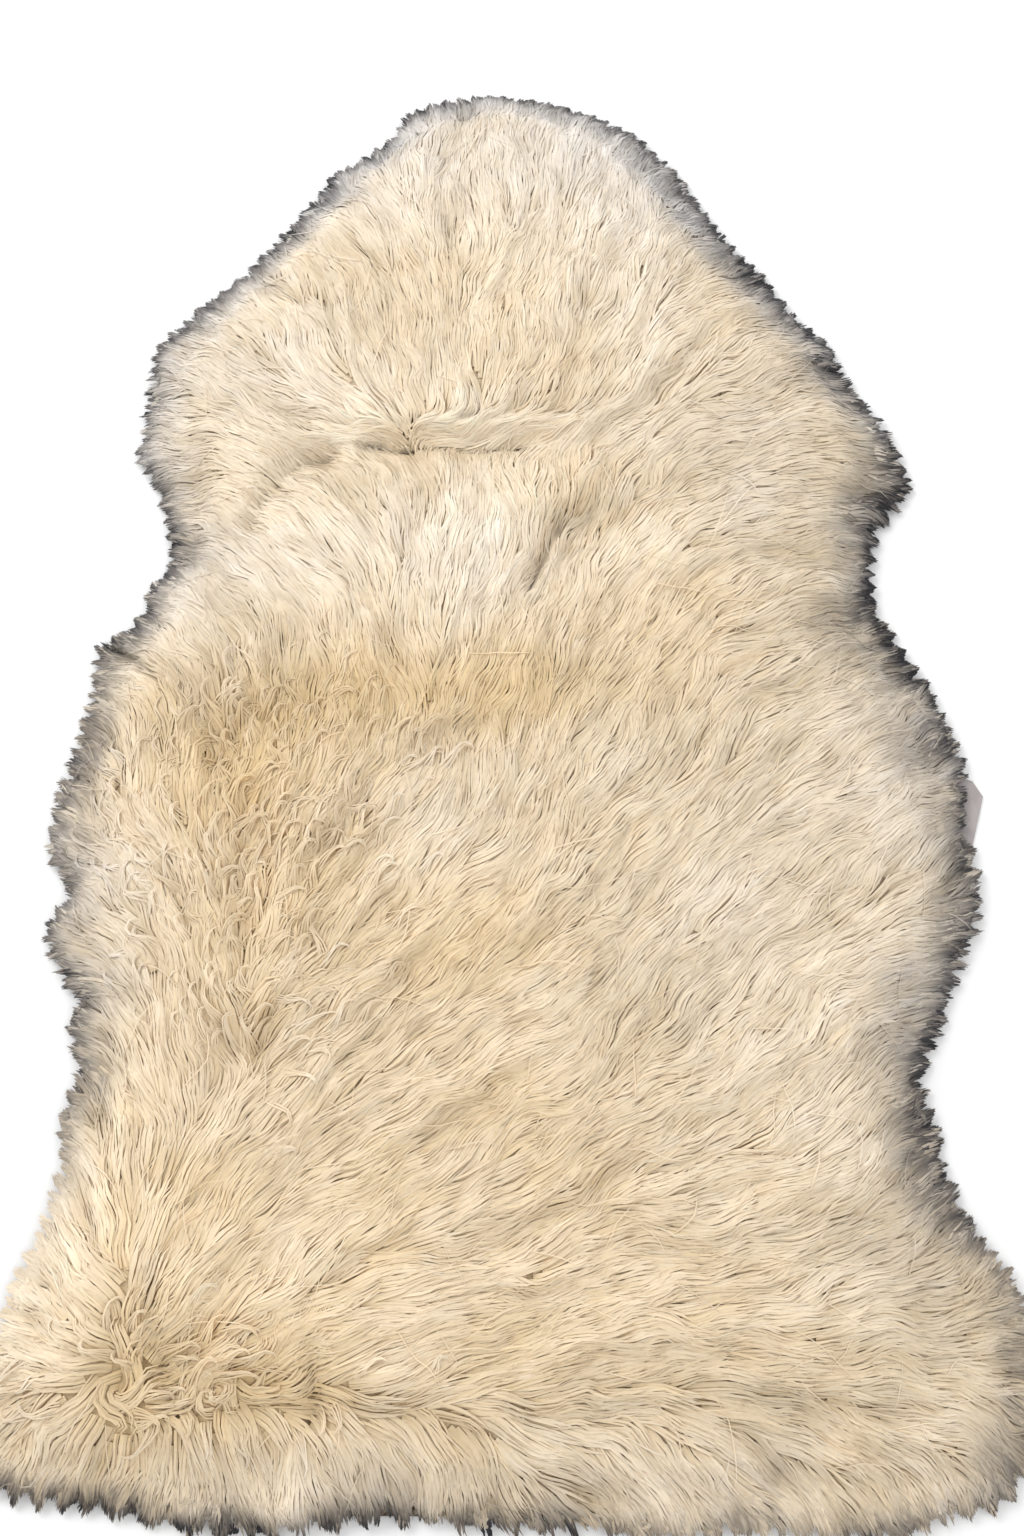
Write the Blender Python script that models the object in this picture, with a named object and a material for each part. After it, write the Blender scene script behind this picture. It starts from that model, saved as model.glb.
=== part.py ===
"""A natural sheepskin rug, laid flat: the tanned hide, the long combed fleece on it, and a folded label.

Metres, +Z up. The rug lies on z = 0 with its neck towards +Y, and the origin is under the middle of its box.
"""

import math
from collections import namedtuple

import bmesh
import bpy
import numpy as np
from mathutils import Vector
from mathutils.geometry import delaunay_2d_cdt

# The hide, a flat tanned skin under the wool.
HIDE_THICKNESS = 0.002
WOOL_OVERHANG = 0.042  # from the skin's edge to the ends of the wool, in plan
HIDE_ROUNDING = 0.028  # length along the outline over which the cut of the skin evens it out
FIT_GAP = 0.0003  # between neighbouring pieces

# The fleece: one slab of wool that breaks up into pointed locks at its rim.
PILE_HEIGHT = 0.044
RIM_HEIGHT = 0.013  # thickness of the wool where the locks leave the slab
RIM_HEIGHT_RANGE = (0.9, 1.15)  # its thinnest and its thickest, as shares of that
ROUND_OVER = 0.075  # how far in from the rim the wool reaches its full height
LUMP_HEIGHT = 0.010  # how far the locks that lie on the pile stand out of it
LUMP_LENGTH = 0.070
LUMP_WIDTH = 0.032
LUMP_PITCH = 0.030
LUMP_SIZES = (0.55, 1.0)  # the smallest and the largest, as shares of those sizes
LUMP_CREST = 0.8  # where along a lump it is highest
PILE_PITCH = 0.0150  # spacing of the points of the upper surface
NEAREST_TO_RIM = 0.65  # of that spacing, between the rim and those points
RIM_TROUGH_SHARE = 0.4  # how much of a trough's depth is left where it runs out at the rim
UNEVENNESS = 0.22  # how far a scattered point strays, as a share of the spacing
LOCKS = 230  # around the rim, an even number
LOCK_SPACING_SPREAD = 0.35  # how far a lock's side strays along the rim, as a share of a lock's width
LOCK_REACH = 0.025  # from the slab's rim to a lock's point, in plan
LOCK_REACH_RANGE = (0.62, 1.08)  # the shortest and the longest lock, as shares of that reach
LOCK_MOST_LEAN = 0.75  # the least share of a leaning lock that still goes straight out
LOCK_LEAN = 0.45  # how much a lock follows the combing, and not the straight way out
LOCK_WAIST = 0.50  # where along a lock its middle section lies
LOCK_WAIST_WIDTH = 0.74  # as a share of its width at the root
LOCK_WAIST_HEIGHT = 0.0080
LOCK_TIP_HEIGHT = 0.0012

# The label, a woven tape folded at its outer edge and sewn on the skin's edge under the wool.
LABEL_WIDTH = 0.042
LABEL_LENGTH = 0.052
LABEL_THICKNESS = 0.001
LABEL_OUTER_MIDDLE = (0.2835, -0.0850)
LABEL_ANGLE = math.radians(-14)
LABEL_ON_HIDE = 0.017  # length that lies level with the top of the skin
LABEL_SLOPE = 0.010  # length over which it comes down to the floor
LABEL_CUT_CORNER = 0.008
LABEL_BERTH = 0.006  # how far beside the label the locks lie on it, and not on the floor

# Where the wool ends, to the left and right of the middle line, from the rump to the neck.
Row = namedtuple("Row", "y left right")
OUTLINE = (
    Row(-0.459, -0.272, 0.266),
    Row(-0.430, -0.289, 0.284),
    Row(-0.400, -0.290, 0.287),
    Row(-0.355, -0.282, 0.280),
    Row(-0.300, -0.263, 0.248),
    Row(-0.240, -0.259, 0.238),
    Row(-0.180, -0.271, 0.264),
    Row(-0.125, -0.282, 0.281),
    Row(-0.070, -0.284, 0.277),
    Row(-0.010, -0.275, 0.266),
    Row(0.030, -0.267, 0.248),
    Row(0.058, -0.246, 0.239),
    Row(0.090, -0.235, 0.235),
    Row(0.135, -0.235, 0.252),
    Row(0.158, -0.246, 0.266),
    Row(0.200, -0.258, 0.252),
    Row(0.250, -0.250, 0.227),
    Row(0.300, -0.217, 0.188),
    Row(0.345, -0.181, 0.158),
    Row(0.390, -0.149, 0.129),
    Row(0.435, -0.112, 0.100),
    Row(0.465, -0.082, 0.056),
)
NECK_END = ((-0.022, 0.482),)
RUMP_END = ((-0.222, -0.470), (-0.125, -0.476), (0.000, -0.480), (0.125, -0.481), (0.215, -0.476))

# Which way the ends of the wool point, in degrees from +X, in bands from the neck to the rump. Each band
# runs from the left rim to a parting, given as a share of the rug's width, and on to the right rim. Where the
# wool has no parting, it points the same way on both sides of that place.
Combing = namedtuple("Combing", "y rim_left parting left right quarter middle far rim_right")
COMBING_PLACES = (0.35, 0.55, 0.78, 1.0)  # shares of the width: quarter, middle, far, rim_right
COMBING = (
    Combing(0.422, 115, 0.20, 105, 105, 97, 84, 70, 55),
    Combing(0.352, 130, 0.20, 115, 115, 102, 85, 66, 48),
    Combing(0.270, 145, 0.20, 125, 125, 108, 82, 60, 42),
    Combing(0.199, 160, 0.20, 138, 138, 112, 70, 42, 28),
    Combing(0.172, 168, 0.20, 145, 145, 120, 30, 18, 8),
    Combing(0.150, 172, 0.20, 150, 150, 112, 85, 28, 2),
    Combing(0.102, 155, 0.20, 135, 135, 105, 80, 25, 14),
    Combing(0.046, 145, 0.20, 122, 122, 102, 65, 42, 32),
    Combing(-0.008, 140, 0.20, 112, 112, 90, 55, 46, 36),
    Combing(-0.059, 136, 0.19, 110, 85, 62, 50, 46, 36),
    Combing(-0.115, 145, 0.22, 108, 78, 58, 50, 42, 28),
    Combing(-0.175, 160, 0.22, 108, 68, 50, 45, 38, 26),
    Combing(-0.231, 130, 0.21, 102, 62, 40, 34, 27, 26),
    Combing(-0.286, 126, 0.10, 105, 80, 36, 28, 26, 28),
    Combing(-0.327, 135, 0.10, 115, 85, 32, 24, 21, 20),
    Combing(-0.372, 175, 0.11, 140, 75, 28, 18, 15, 12),
    Combing(-0.404, 200, 0.11, 190, 60, 32, 10, 0, -6),
    Combing(-0.430, 232, 0.11, 255, -90, -65, -38, -30, -36),
    Combing(-0.460, 244, 0.15, 262, -92, -72, -50, -46, -55),
)

# Soft troughs in the pile, and one ridge, whose depth is negative.
Trough = namedtuple("Trough", "name depth width points")
TROUGHS = (
    Trough("neck crease", 0.013, 0.009, ((-0.120, 0.160), (-0.063, 0.167), (0.028, 0.161), (0.070, 0.161))),
    Trough("shoulder groove", 0.009, 0.010, ((-0.169, 0.100), (-0.150, 0.132), (-0.120, 0.160))),
    Trough("dimple", 0.009, 0.012, ((0.052, 0.104), (0.032, 0.098), (0.018, 0.057))),
    Trough("brushed hollow", 0.006, 0.040, ((-0.140, -0.005), (-0.040, 0.015))),
    Trough("flank parting", 0.010, 0.014, ((-0.173, -0.034), (-0.154, -0.145), (-0.149, -0.231))),
    Trough("hip parting", 0.007, 0.016, ((-0.149, -0.231), (-0.204, -0.301), (-0.212, -0.387))),
    Trough("rump parting", 0.011, 0.014, ((-0.21, -0.405), (-0.096, -0.42), (-0.02, -0.43), (0.196, -0.424))),
    Trough("left notch", 0.010, 0.008, ((-0.290, 0.006), (-0.232, 0.006))),
    Trough("right notch", 0.009, 0.009, ((0.260, -0.243), (0.205, -0.236))),
    Trough("right ridge", -0.004, 0.012, ((0.112, -0.237), (0.185, -0.229))),
)

Finish = namedtuple("Finish", "colour roughness")
HIDE_FINISH = Finish((0.62, 0.50, 0.36), 0.9)
FLEECE_FINISH = Finish((0.78, 0.68, 0.52), 0.85)
LABEL_FINISH = Finish((0.52, 0.49, 0.49), 0.8)

DENSE = 3000  # points of the outline before it is divided into locks
chance = np.random.default_rng(7)


# ---- Curves in plan ----------------------------------------------------------------------------------------


def smooth_loop(points, count):
    """count points along a smooth closed curve through points, anticlockwise."""
    points = np.array(points)
    step = np.arange(count) * len(points) / count
    index = step.astype(int)
    t = (step - index)[:, None]
    before, start, end, after = (points[(index + k) % len(points)] for k in (-1, 0, 1, 2))
    cubic = 3 * (start - end) + after - before
    square = 2 * before - 5 * start + 4 * end - after
    return start + 0.5 * t * (end - before + t * (square + t * cubic))


def lock_places(loop):
    """Where along the closed loop's points the locks part, at nearly equal distances."""
    sides = np.linalg.norm(np.roll(loop, -1, axis=0) - loop, axis=1)
    along = np.concatenate([[0], np.cumsum(sides)])
    steps = np.arange(LOCKS) + chance.uniform(0, LOCK_SPACING_SPREAD, LOCKS)
    return np.interp(steps * along[-1] / LOCKS, along, np.arange(len(along)))


def at_places(loop, places):
    """The points of a closed loop at places between its own points."""
    index = places.astype(int)
    share = (places - index)[:, None]
    return loop[index % len(loop)] * (1 - share) + loop[(index + 1) % len(loop)] * share


def evened_out(loop, length):
    """The loop with its corners rounded off over about length."""
    around = np.linalg.norm(np.roll(loop, -1, axis=0) - loop, axis=1).sum()
    waves = np.fft.fftfreq(len(loop), 1 / len(loop)) * 2 * math.pi / around
    kept = np.exp(-((waves * length) ** 2) / 2)[:, None]
    return np.real(np.fft.ifft(np.fft.fft(loop, axis=0) * kept, axis=0))


def outward(loop):
    """Unit vectors that point straight out of an anticlockwise loop."""
    along = np.roll(loop, -1, axis=0) - np.roll(loop, 1, axis=0)
    out = np.column_stack([along[:, 1], -along[:, 0]])
    return out / np.linalg.norm(out, axis=1)[:, None]


def wool_and_hide_loops():
    """The ends of the wool and the skin's edge, LOCKS points each, every one across from one of the other."""
    right = [(row.right, row.y) for row in OUTLINE]
    left = [(row.left, row.y) for row in reversed(OUTLINE)]
    wool = smooth_loop(right + list(NECK_END) + left + list(RUMP_END), DENSE)
    even = evened_out(wool, HIDE_ROUNDING)
    hide = even - outward(even) * WOOL_OVERHANG
    places = lock_places(wool)
    return at_places(wool, places), at_places(hide, places)


def distance_to_line(points, line):
    """How far each point is from an open line of straight pieces."""
    nearest = np.full(len(points), np.inf)
    for start, end in zip(np.array(line[:-1]), np.array(line[1:])):
        piece = end - start
        share = np.clip((points - start) @ piece / (piece @ piece), 0, 1)
        nearest = np.minimum(nearest, np.linalg.norm(points - start - share[:, None] * piece, axis=1))
    return nearest


def inside_loop(points, loop):
    x, y = points[:, :1], points[:, 1:]
    start, end = loop, np.roll(loop, -1, axis=0)
    spans = (start[:, 1] > y) != (end[:, 1] > y)
    rise = np.where(end[:, 1] == start[:, 1], 1, end[:, 1] - start[:, 1])
    crossing = x < start[:, 0] + (end[:, 0] - start[:, 0]) * (y - start[:, 1]) / rise
    return (spans & crossing).sum(axis=1) % 2 == 1


# ---- The lie of the wool -----------------------------------------------------------------------------------


def combed_angle(x, y):
    """The direction in which the wool's ends point at a place, in radians from +X."""
    bands = np.array(COMBING)[::-1]
    y = np.clip(y, bands[0, 0], bands[-1, 0])
    band = Combing(*(np.interp(y, bands[:, 0], column) for column in bands.T))
    rows = np.array(OUTLINE)
    left, right = (np.interp(y, rows[:, 0], rows[:, k]) for k in (1, 2))
    share = np.clip((x - left) / (right - left), 0, 1)
    if share < band.parting:
        angle = np.interp(share, (0, band.parting), (band.rim_left, band.left))
    else:
        angle = np.interp(share, (band.parting, *COMBING_PLACES), band[4:])
    return math.radians(angle)


def combed(points):
    """Unit vectors along the combing at each point."""
    angles = np.array([combed_angle(x, y) for x, y in points])
    return np.column_stack([np.cos(angles), np.sin(angles)])


def scattered(loop, pitch, margin):
    """Points in staggered rows a pitch apart, a little out of line, no nearer to the loop than margin."""
    low, high = loop.min(axis=0), loop.max(axis=0)
    across = np.arange(low[0], high[0], pitch)
    up = np.arange(low[1], high[1], pitch * math.sqrt(3) / 2)
    x, y = np.meshgrid(across, up)
    x[1::2] += pitch / 2
    points = np.column_stack([x.ravel(), y.ravel()])
    points += chance.uniform(-UNEVENNESS, UNEVENNESS, points.shape) * pitch
    closed = np.vstack([loop, loop[:1]])
    return points[inside_loop(points, loop) & (distance_to_line(points, closed) > margin)]


def lumps(points, loop):
    """How much of a lump stands at each point: 0 at a lock's root, rising to 1 near its end."""
    centres = scattered(loop, LUMP_PITCH, 0)
    ways = combed(centres)
    sizes = chance.uniform(*LUMP_SIZES, len(centres))
    away = points[:, None] - centres[None]
    along = (away * ways[None]).sum(axis=2) / LUMP_LENGTH + 0.5
    across = (away[..., 0] * ways[None, :, 1] - away[..., 1] * ways[None, :, 0]) / LUMP_WIDTH
    rise = np.interp(along, (0, LUMP_CREST, 1), (0, 1, 0), left=0, right=0)
    bulge = np.cos(np.clip(across, -0.5, 0.5) * math.pi) ** 2
    return (rise * bulge * sizes[None]).max(axis=1)


def pile_heights(points, loop):
    """The height of the wool's upper surface at each point inside the slab's rim."""
    from_rim = np.clip(distance_to_line(points, np.vstack([loop, loop[:1]])) / ROUND_OVER, 0, 1)
    shoulder = np.sqrt(1 - (1 - from_rim) ** 2)
    heights = RIM_HEIGHT + (PILE_HEIGHT - LUMP_HEIGHT - RIM_HEIGHT) * shoulder
    heights += LUMP_HEIGHT * lumps(points, loop) * np.sqrt(from_rim)
    for trough in TROUGHS:
        away = distance_to_line(points, trough.points) / trough.width
        heights -= trough.depth * np.exp(-(away**2)) * np.minimum(1, RIM_TROUGH_SHARE + from_rim)
    return heights


# ---- Pieces ------------------------------------------------------------------------------------------------


def material(name, finish):
    made = bpy.data.materials.new(name)
    made.use_nodes = True
    made.diffuse_color = (*finish.colour, 1)
    shader = made.node_tree.nodes["Principled BSDF"]
    shader.inputs["Base Color"].default_value = (*finish.colour, 1)
    shader.inputs["Roughness"].default_value = finish.roughness
    shader.inputs["Metallic"].default_value = 0
    return made


def piece(name, form, finish):
    """An object from a closed bmesh, with its faces turned out."""
    bmesh.ops.recalc_face_normals(form, faces=form.faces)
    mesh = bpy.data.meshes.new(name)
    form.to_mesh(mesh)
    form.free()
    made = bpy.data.objects.new(name, mesh)
    bpy.context.scene.collection.objects.link(made)
    if finish:
        mesh.materials.append(material(name, finish))
    return made


def prism(outline, low, high):
    """A bmesh of the plan outline, raised from low to high."""
    form = bmesh.new()
    floor = [form.verts.new((x, y, low)) for x, y in outline]
    roof = [form.verts.new((x, y, high)) for x, y in outline]
    form.faces.new(floor)
    form.faces.new(roof)
    for k in range(len(outline)):
        form.faces.new((floor[k - 1], floor[k], roof[k], roof[k - 1]))
    return form


def make_hide(hide_loop):
    form = prism(hide_loop, 0, HIDE_THICKNESS)
    return piece("hide", form, HIDE_FINISH)


def label_section(gap):
    """The label's side view, as (outwards, up) points from its outer edge, with a gap all round it."""
    floor = LABEL_THICKNESS
    level = HIDE_THICKNESS + FIT_GAP + LABEL_THICKNESS
    inner = -LABEL_LENGTH
    bend = inner + LABEL_ON_HIDE
    foot = bend + LABEL_SLOPE
    if gap:
        return (
            (inner - gap, -gap),
            (gap, -gap),
            (gap, floor + gap),
            (foot, floor + gap),
            (bend, level + gap),
            (inner - gap, level + gap),
        )
    under = level - LABEL_THICKNESS
    return (
        (inner, under),
        (bend, under),
        (foot, 0),
        (0, 0),
        (0, floor),
        (foot, floor),
        (bend, level),
        (inner, level),
    )


def label_form(gap):
    """The label as a bmesh in its place. With a gap, it is the room that the label needs in the wool."""
    form = bmesh.new()
    half = LABEL_WIDTH / 2 + gap
    sides = [[form.verts.new((out, side, up)) for out, up in label_section(gap)] for side in (-half, half)]
    for side in sides:
        form.faces.new(side)
    for k in range(len(sides[0])):
        form.faces.new((sides[0][k - 1], sides[0][k], sides[1][k], sides[1][k - 1]))
    if not gap:
        corner = [edge for edge in form.edges if all(v.co.x == 0 and v.co.y > 0 for v in edge.verts)]
        bmesh.ops.bevel(form, geom=corner, offset=LABEL_CUT_CORNER, segments=1, affect="EDGES")
    turn = Vector((math.cos(LABEL_ANGLE), math.sin(LABEL_ANGLE)))
    for vert in form.verts:
        out, side = vert.co.x, vert.co.y
        vert.co.x = LABEL_OUTER_MIDDLE[0] + out * turn.x - side * turn.y
        vert.co.y = LABEL_OUTER_MIDDLE[1] + out * turn.y + side * turn.x
    return form


def make_label():
    return piece("label", label_form(0), LABEL_FINISH)


def over_label(point):
    """Whether a plan point lies over the label or just beside it."""
    away = Vector(point) - Vector(LABEL_OUTER_MIDDLE)
    turn = Vector((math.cos(LABEL_ANGLE), math.sin(LABEL_ANGLE)))
    beside = abs(turn.x * away.y - turn.y * away.x)
    return away.length < LABEL_LENGTH and beside < LABEL_WIDTH / 2 + LABEL_BERTH


def lock_points(rim, wool, index):
    """A lock's middle section and its point in plan: (left, right, end)."""
    start = (rim[index] + rim[(index + 1) % LOCKS]) / 2
    target = (wool[index] + wool[(index + 1) % LOCKS]) / 2
    out = (target - start) / np.linalg.norm(target - start)
    way = out * (1 - LOCK_LEAN) + combed([start])[0] * LOCK_LEAN
    way /= np.linalg.norm(way)
    reach = LOCK_REACH * chance.uniform(*LOCK_REACH_RANGE) / max(way @ out, LOCK_MOST_LEAN)
    half = np.linalg.norm(rim[(index + 1) % LOCKS] - rim[index]) * LOCK_WAIST_WIDTH / 2
    across = np.array([-way[1], way[0]])
    waist = start + way * reach * LOCK_WAIST
    end = start + way * reach + across * half * chance.uniform(-0.8, 0.8)
    return waist - across * half, waist + across * half, end


def add_locks(form, low_ring, high_ring, rim, wool):
    """A pointed lock of four sides on each stretch of the slab's rim, lying level on the floor."""
    for k in range(LOCKS):
        after = (k + 1) % LOCKS
        right, left, end = lock_points(rim, wool, k)
        floor = low_ring[k].co.z
        root = (low_ring[k], low_ring[after], high_ring[after], high_ring[k])
        waist = [
            form.verts.new((*right, floor)),
            form.verts.new((*left, floor)),
            form.verts.new((*left, floor + LOCK_WAIST_HEIGHT)),
            form.verts.new((*right, floor + LOCK_WAIST_HEIGHT)),
        ]
        point = form.verts.new((*end, floor + LOCK_TIP_HEIGHT))
        for side in range(4):
            form.faces.new((root[side - 1], root[side], waist[side], waist[side - 1]))
            form.faces.new((waist[side - 1], waist[side], point))


def add_underside(form, low_ring, hide_loop):
    """The flat wool under the rim, and the recess in which the hide lies."""
    edge = hide_loop + outward(hide_loop) * FIT_GAP
    roof = HIDE_THICKNESS + FIT_GAP
    lower = [form.verts.new((x, y, 0)) for x, y in edge]
    upper = [form.verts.new((x, y, roof)) for x, y in edge]
    count = len(edge)
    for k in range(count):
        after = (k + 1) % count
        first, middle, last = low_ring[2 * k], low_ring[2 * k + 1], low_ring[2 * after]
        form.faces.new((first, middle, lower[k]))
        form.faces.new((middle, last, lower[after]))
        form.faces.new((middle, lower[after], lower[k]))
        form.faces.new((lower[k], lower[after], upper[after], upper[k]))
    form.faces.new(upper)


def add_upper_side(form, high_ring, rim):
    """The lumpy top of the pile, a net of triangles from the rim inwards."""
    inner = scattered(rim, PILE_PITCH, PILE_PITCH * NEAREST_TO_RIM)
    heights = pile_heights(inner, rim)
    plan = [Vector(p) for p in np.vstack([rim, inner])]
    edges = [(k, (k + 1) % LOCKS) for k in range(LOCKS)]
    _, _, triangles, sources, _, _ = delaunay_2d_cdt(plan, edges, [], 1, 1e-7)
    verts = high_ring + [form.verts.new((*p, z)) for p, z in zip(inner, heights)]
    for triangle in triangles:
        form.faces.new([verts[sources[k][0]] for k in triangle])


def make_fleece(wool, hide_loop, hide_across):
    """The wool: its slab, its locks and the recess for the hide, less the room that the label takes."""
    rim = wool + (hide_across - wool) * LOCK_REACH / WOOL_OVERHANG
    form = bmesh.new()
    raised = LABEL_THICKNESS + 2 * FIT_GAP
    low_ring = [form.verts.new((*p, raised if over_label(p) else 0)) for p in rim]
    high_ring = [form.verts.new((*p, RIM_HEIGHT * chance.uniform(*RIM_HEIGHT_RANGE))) for p in rim]
    add_locks(form, low_ring, high_ring, rim, wool)
    add_underside(form, low_ring, hide_loop)
    add_upper_side(form, high_ring, rim)
    fleece = piece("fleece", form, FLEECE_FINISH)
    fleece.data.shade_smooth()
    room = piece("label_room", label_form(FIT_GAP), None)
    room.hide_render = True
    room.display_type = "WIRE"
    cut = fleece.modifiers.new("room for the label", "BOOLEAN")
    cut.operation = "DIFFERENCE"
    cut.solver = "EXACT"
    cut.object = room
    return fleece


def main():
    for existing in list(bpy.data.objects):
        bpy.data.objects.remove(existing, do_unlink=True)
    wool, hide_across = wool_and_hide_loops()
    hide_loop = hide_across[::2]
    make_hide(hide_loop)
    make_fleece(wool, hide_loop, hide_across)
    make_label()


main()
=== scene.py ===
"""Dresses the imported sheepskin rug: combed locks, the matted wool below, the suede hide and the label.

Metres, +Z up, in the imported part's frame: the rug lies on z = 0 with its neck towards +Y. A plan point is a
complex number, x + iy, so a direction is a number of length one, and turning it is a multiplication.
"""

import math
from collections import namedtuple

import bmesh
import bpy
import numpy as np
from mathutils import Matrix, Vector
from mathutils.bvhtree import BVHTree
from mathutils.geometry import delaunay_2d_cdt

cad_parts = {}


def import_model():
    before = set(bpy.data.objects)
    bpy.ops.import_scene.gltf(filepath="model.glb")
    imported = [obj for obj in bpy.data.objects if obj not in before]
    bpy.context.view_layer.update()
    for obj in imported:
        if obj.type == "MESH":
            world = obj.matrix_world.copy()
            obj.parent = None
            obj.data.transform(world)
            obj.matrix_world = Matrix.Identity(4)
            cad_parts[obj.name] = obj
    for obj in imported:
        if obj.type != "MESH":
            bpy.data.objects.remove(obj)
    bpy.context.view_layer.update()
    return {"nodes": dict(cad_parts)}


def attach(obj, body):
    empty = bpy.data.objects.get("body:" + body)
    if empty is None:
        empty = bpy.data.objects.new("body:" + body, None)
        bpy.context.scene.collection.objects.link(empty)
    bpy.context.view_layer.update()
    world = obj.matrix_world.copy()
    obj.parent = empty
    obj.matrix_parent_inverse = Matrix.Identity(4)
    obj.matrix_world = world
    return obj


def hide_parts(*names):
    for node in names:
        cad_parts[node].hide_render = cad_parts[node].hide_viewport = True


def metres(length):
    """Numbers or plan points in millimetres, in metres."""
    if isinstance(length, tuple):
        return tuple(metres(part) for part in length)
    if isinstance(length, complex):
        return complex(metres(length.real), metres(length.imag))
    return round(length / 1000, 7)


def table(lengths, others, *rows):
    """Rows with named columns: lengths, given in millimetres and kept in metres, and then others."""
    names = lengths.split()
    kind = namedtuple("Row", names + others.split())
    return [kind(*metres(row[:len(names)]), *row[len(names):]) for row in rows]


# The camera of the photograph.
CAMERA_AT = (-0.003, -0.368, 0.874)
CAMERA_AIM = (-0.003, -0.05, 0.0)
CAMERA_LENS = 35

# The grid in plan on which the lie and the height of the wool are kept.
GRID_LOW = -0.33 - 0.53j
GRID_PITCH = 0.002
GRID_SHAPE = (331, 531)
GRID_END = 1.001  # grid points before the grid's end, where reading stops
GRID = GRID_LOW + GRID_PITCH * (np.arange(GRID_SHAPE[0])[:, None] + 1j * np.arange(GRID_SHAPE[1]))

# Where the wool ends, to the left and right of the middle line, from the rump to the neck.
OUTLINE = table(
    "y left right", "",
    (-452, -281, 266), (-430, -289, 280), (-400, -290, 285), (-355, -278, 276), (-320, -264, 251),
    (-286, -257, 238), (-270, -261, 238), (-238, -254, 234), (-214, -260, 246), (-200, -258, 250),
    (-160, -280, 270), (-129, -270, 279), (-112, -281, 277), (-87, -283, 276), (-50, -278, 276),
    (-5, -267, 262), (24, -266, 248), (32, -264, 242), (41, -251, 238), (56, -240, 231), (71, -236, 231),
    (86, -225, 231), (114, -229, 237), (132, -232, 251), (147, -237, 260), (163, -249, 257),
    (180, -253, 254), (240, -249, 221), (262, -243, 211), (296, -212, 184), (315, -192, 173),
    (349, -167, 148), (386, -142, 125), (405, -131, 115), (424, -106, 100), (443, -87, 82), (462, -77, 46),
)
NECK_END = metres((10 + 473.5j, -36 + 475.5j))
RUMP_END = metres((
    -264 - 461j, -235 - 465j, -195 - 471j, -143 - 480j, -75 - 473j, 0 - 477j, 80 - 480j, 190 - 479j,
    228 - 471j, 254 - 464j,
))
TIPS_PAST = 0.007  # how far the rim's longest points reach past that
OUTLINE_POINTS = 2400
NEAREST_PARTS = 64  # in which the nearest of them are sought
OUT_EVENED = 14  # points to each side, over which the way out is evened

# Which way the wool's ends point, in degrees from +X, in bands from the neck to the rump. Each runs from the
# left rim to a parting, given as a share of the rug's width, and on to the right rim.
COMBING_PLACES = (0.35, 0.55, 0.78, 1.0)  # of quarter, middle, far and rim_right
COMBING = table(
    "y", "rim_left parting left right quarter middle far rim_right",
    (422, 115, 0.2, 105, 105, 97, 84, 70, 55), (352, 130, 0.2, 115, 115, 102, 85, 66, 48),
    (270, 145, 0.2, 125, 125, 108, 82, 60, 42), (199, 160, 0.2, 138, 138, 112, 70, 42, 28),
    (172, 168, 0.2, 145, 145, 120, 30, 18, 8), (150, 172, 0.2, 150, 150, 112, 85, 28, 2),
    (102, 155, 0.2, 135, 135, 105, 80, 25, 14), (46, 145, 0.2, 122, 122, 102, 65, 42, 32),
    (-8, 140, 0.2, 112, 112, 90, 55, 46, 36), (-59, 136, 0.19, 110, 85, 62, 50, 46, 36),
    (-115, 145, 0.22, 108, 78, 58, 50, 42, 28), (-175, 160, 0.22, 108, 68, 50, 45, 38, 26),
    (-231, 130, 0.21, 102, 62, 40, 34, 27, 26), (-286, 126, 0.1, 105, 80, 36, 28, 26, 28),
    (-327, 135, 0.1, 115, 85, 32, 24, 21, 20), (-372, 175, 0.13, 140, 75, 28, 18, 15, 12),
    (-404, 200, 0.14, 190, 60, 32, 10, 0, -6), (-430, 232, 0.14, 255, -90, -65, -38, -30, -36),
    (-460, 244, 0.15, 262, -92, -72, -50, -46, -55),
)
COMBING_BLUR = 0.006  # over which the wool turns at a parting

# The rim's points: the ends of the wool draw back between them.
TOOTH_PITCH = (0.0075, 0.015)
TOOTH_DEPTH = (0.004, 0.0085)
TOOTH_INSET = 0.002  # of a point, at most
TOOTH_LEAN = 0.35  # of a point, to the side that is combed to, as a share of its width
LOBE_PITCH = 0.019
LOBE_DEPTH = 0.003
TUFTED_BELOW = -0.44  # where the rump's wool ends in larger tufts
TUFTED_SCALE = 1.4

# How far the lie of the wool strays, and over what distance it changes.
STRAYS = table("reach", "degrees seed", (30, 7, 11), (10, 6, 12), (4.2, 9, 13))
OUT_AT_RIM = 0.45  # how much the wool turns straight out at the rim
OUT_REACH = 0.05  # how far in it does so
ROOT_STRAY = 0.3  # of a root out of its row, at most, in pitches

# Where the wool is swept another way than its band says, in degrees from +X.
SWEEPS = table(
    "place reach_x reach_y", "degrees",
    (-102 + 170j, 27, 10, 180), (-132 + 174j, 12, 10, 135), (-38 + 171j, 26, 10, 5),
    (12 + 174j, 34, 12, 14), (-135 + 147j, 17, 10, 188), (-155 + 124j, 14, 12, 168),
    (-105 + 145j, 12, 9, 140), (-84 + 170j, 14, 11, 176), (-54 + 171j, 14, 11, 8),
)

# Where the wool turns round a point, anticlockwise when turn is 1.
WHORLS = table(
    "place reach", "turn",
    (-212 - 407j, 15, 1), (-159 - 407j, 16, -1),
)

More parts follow.
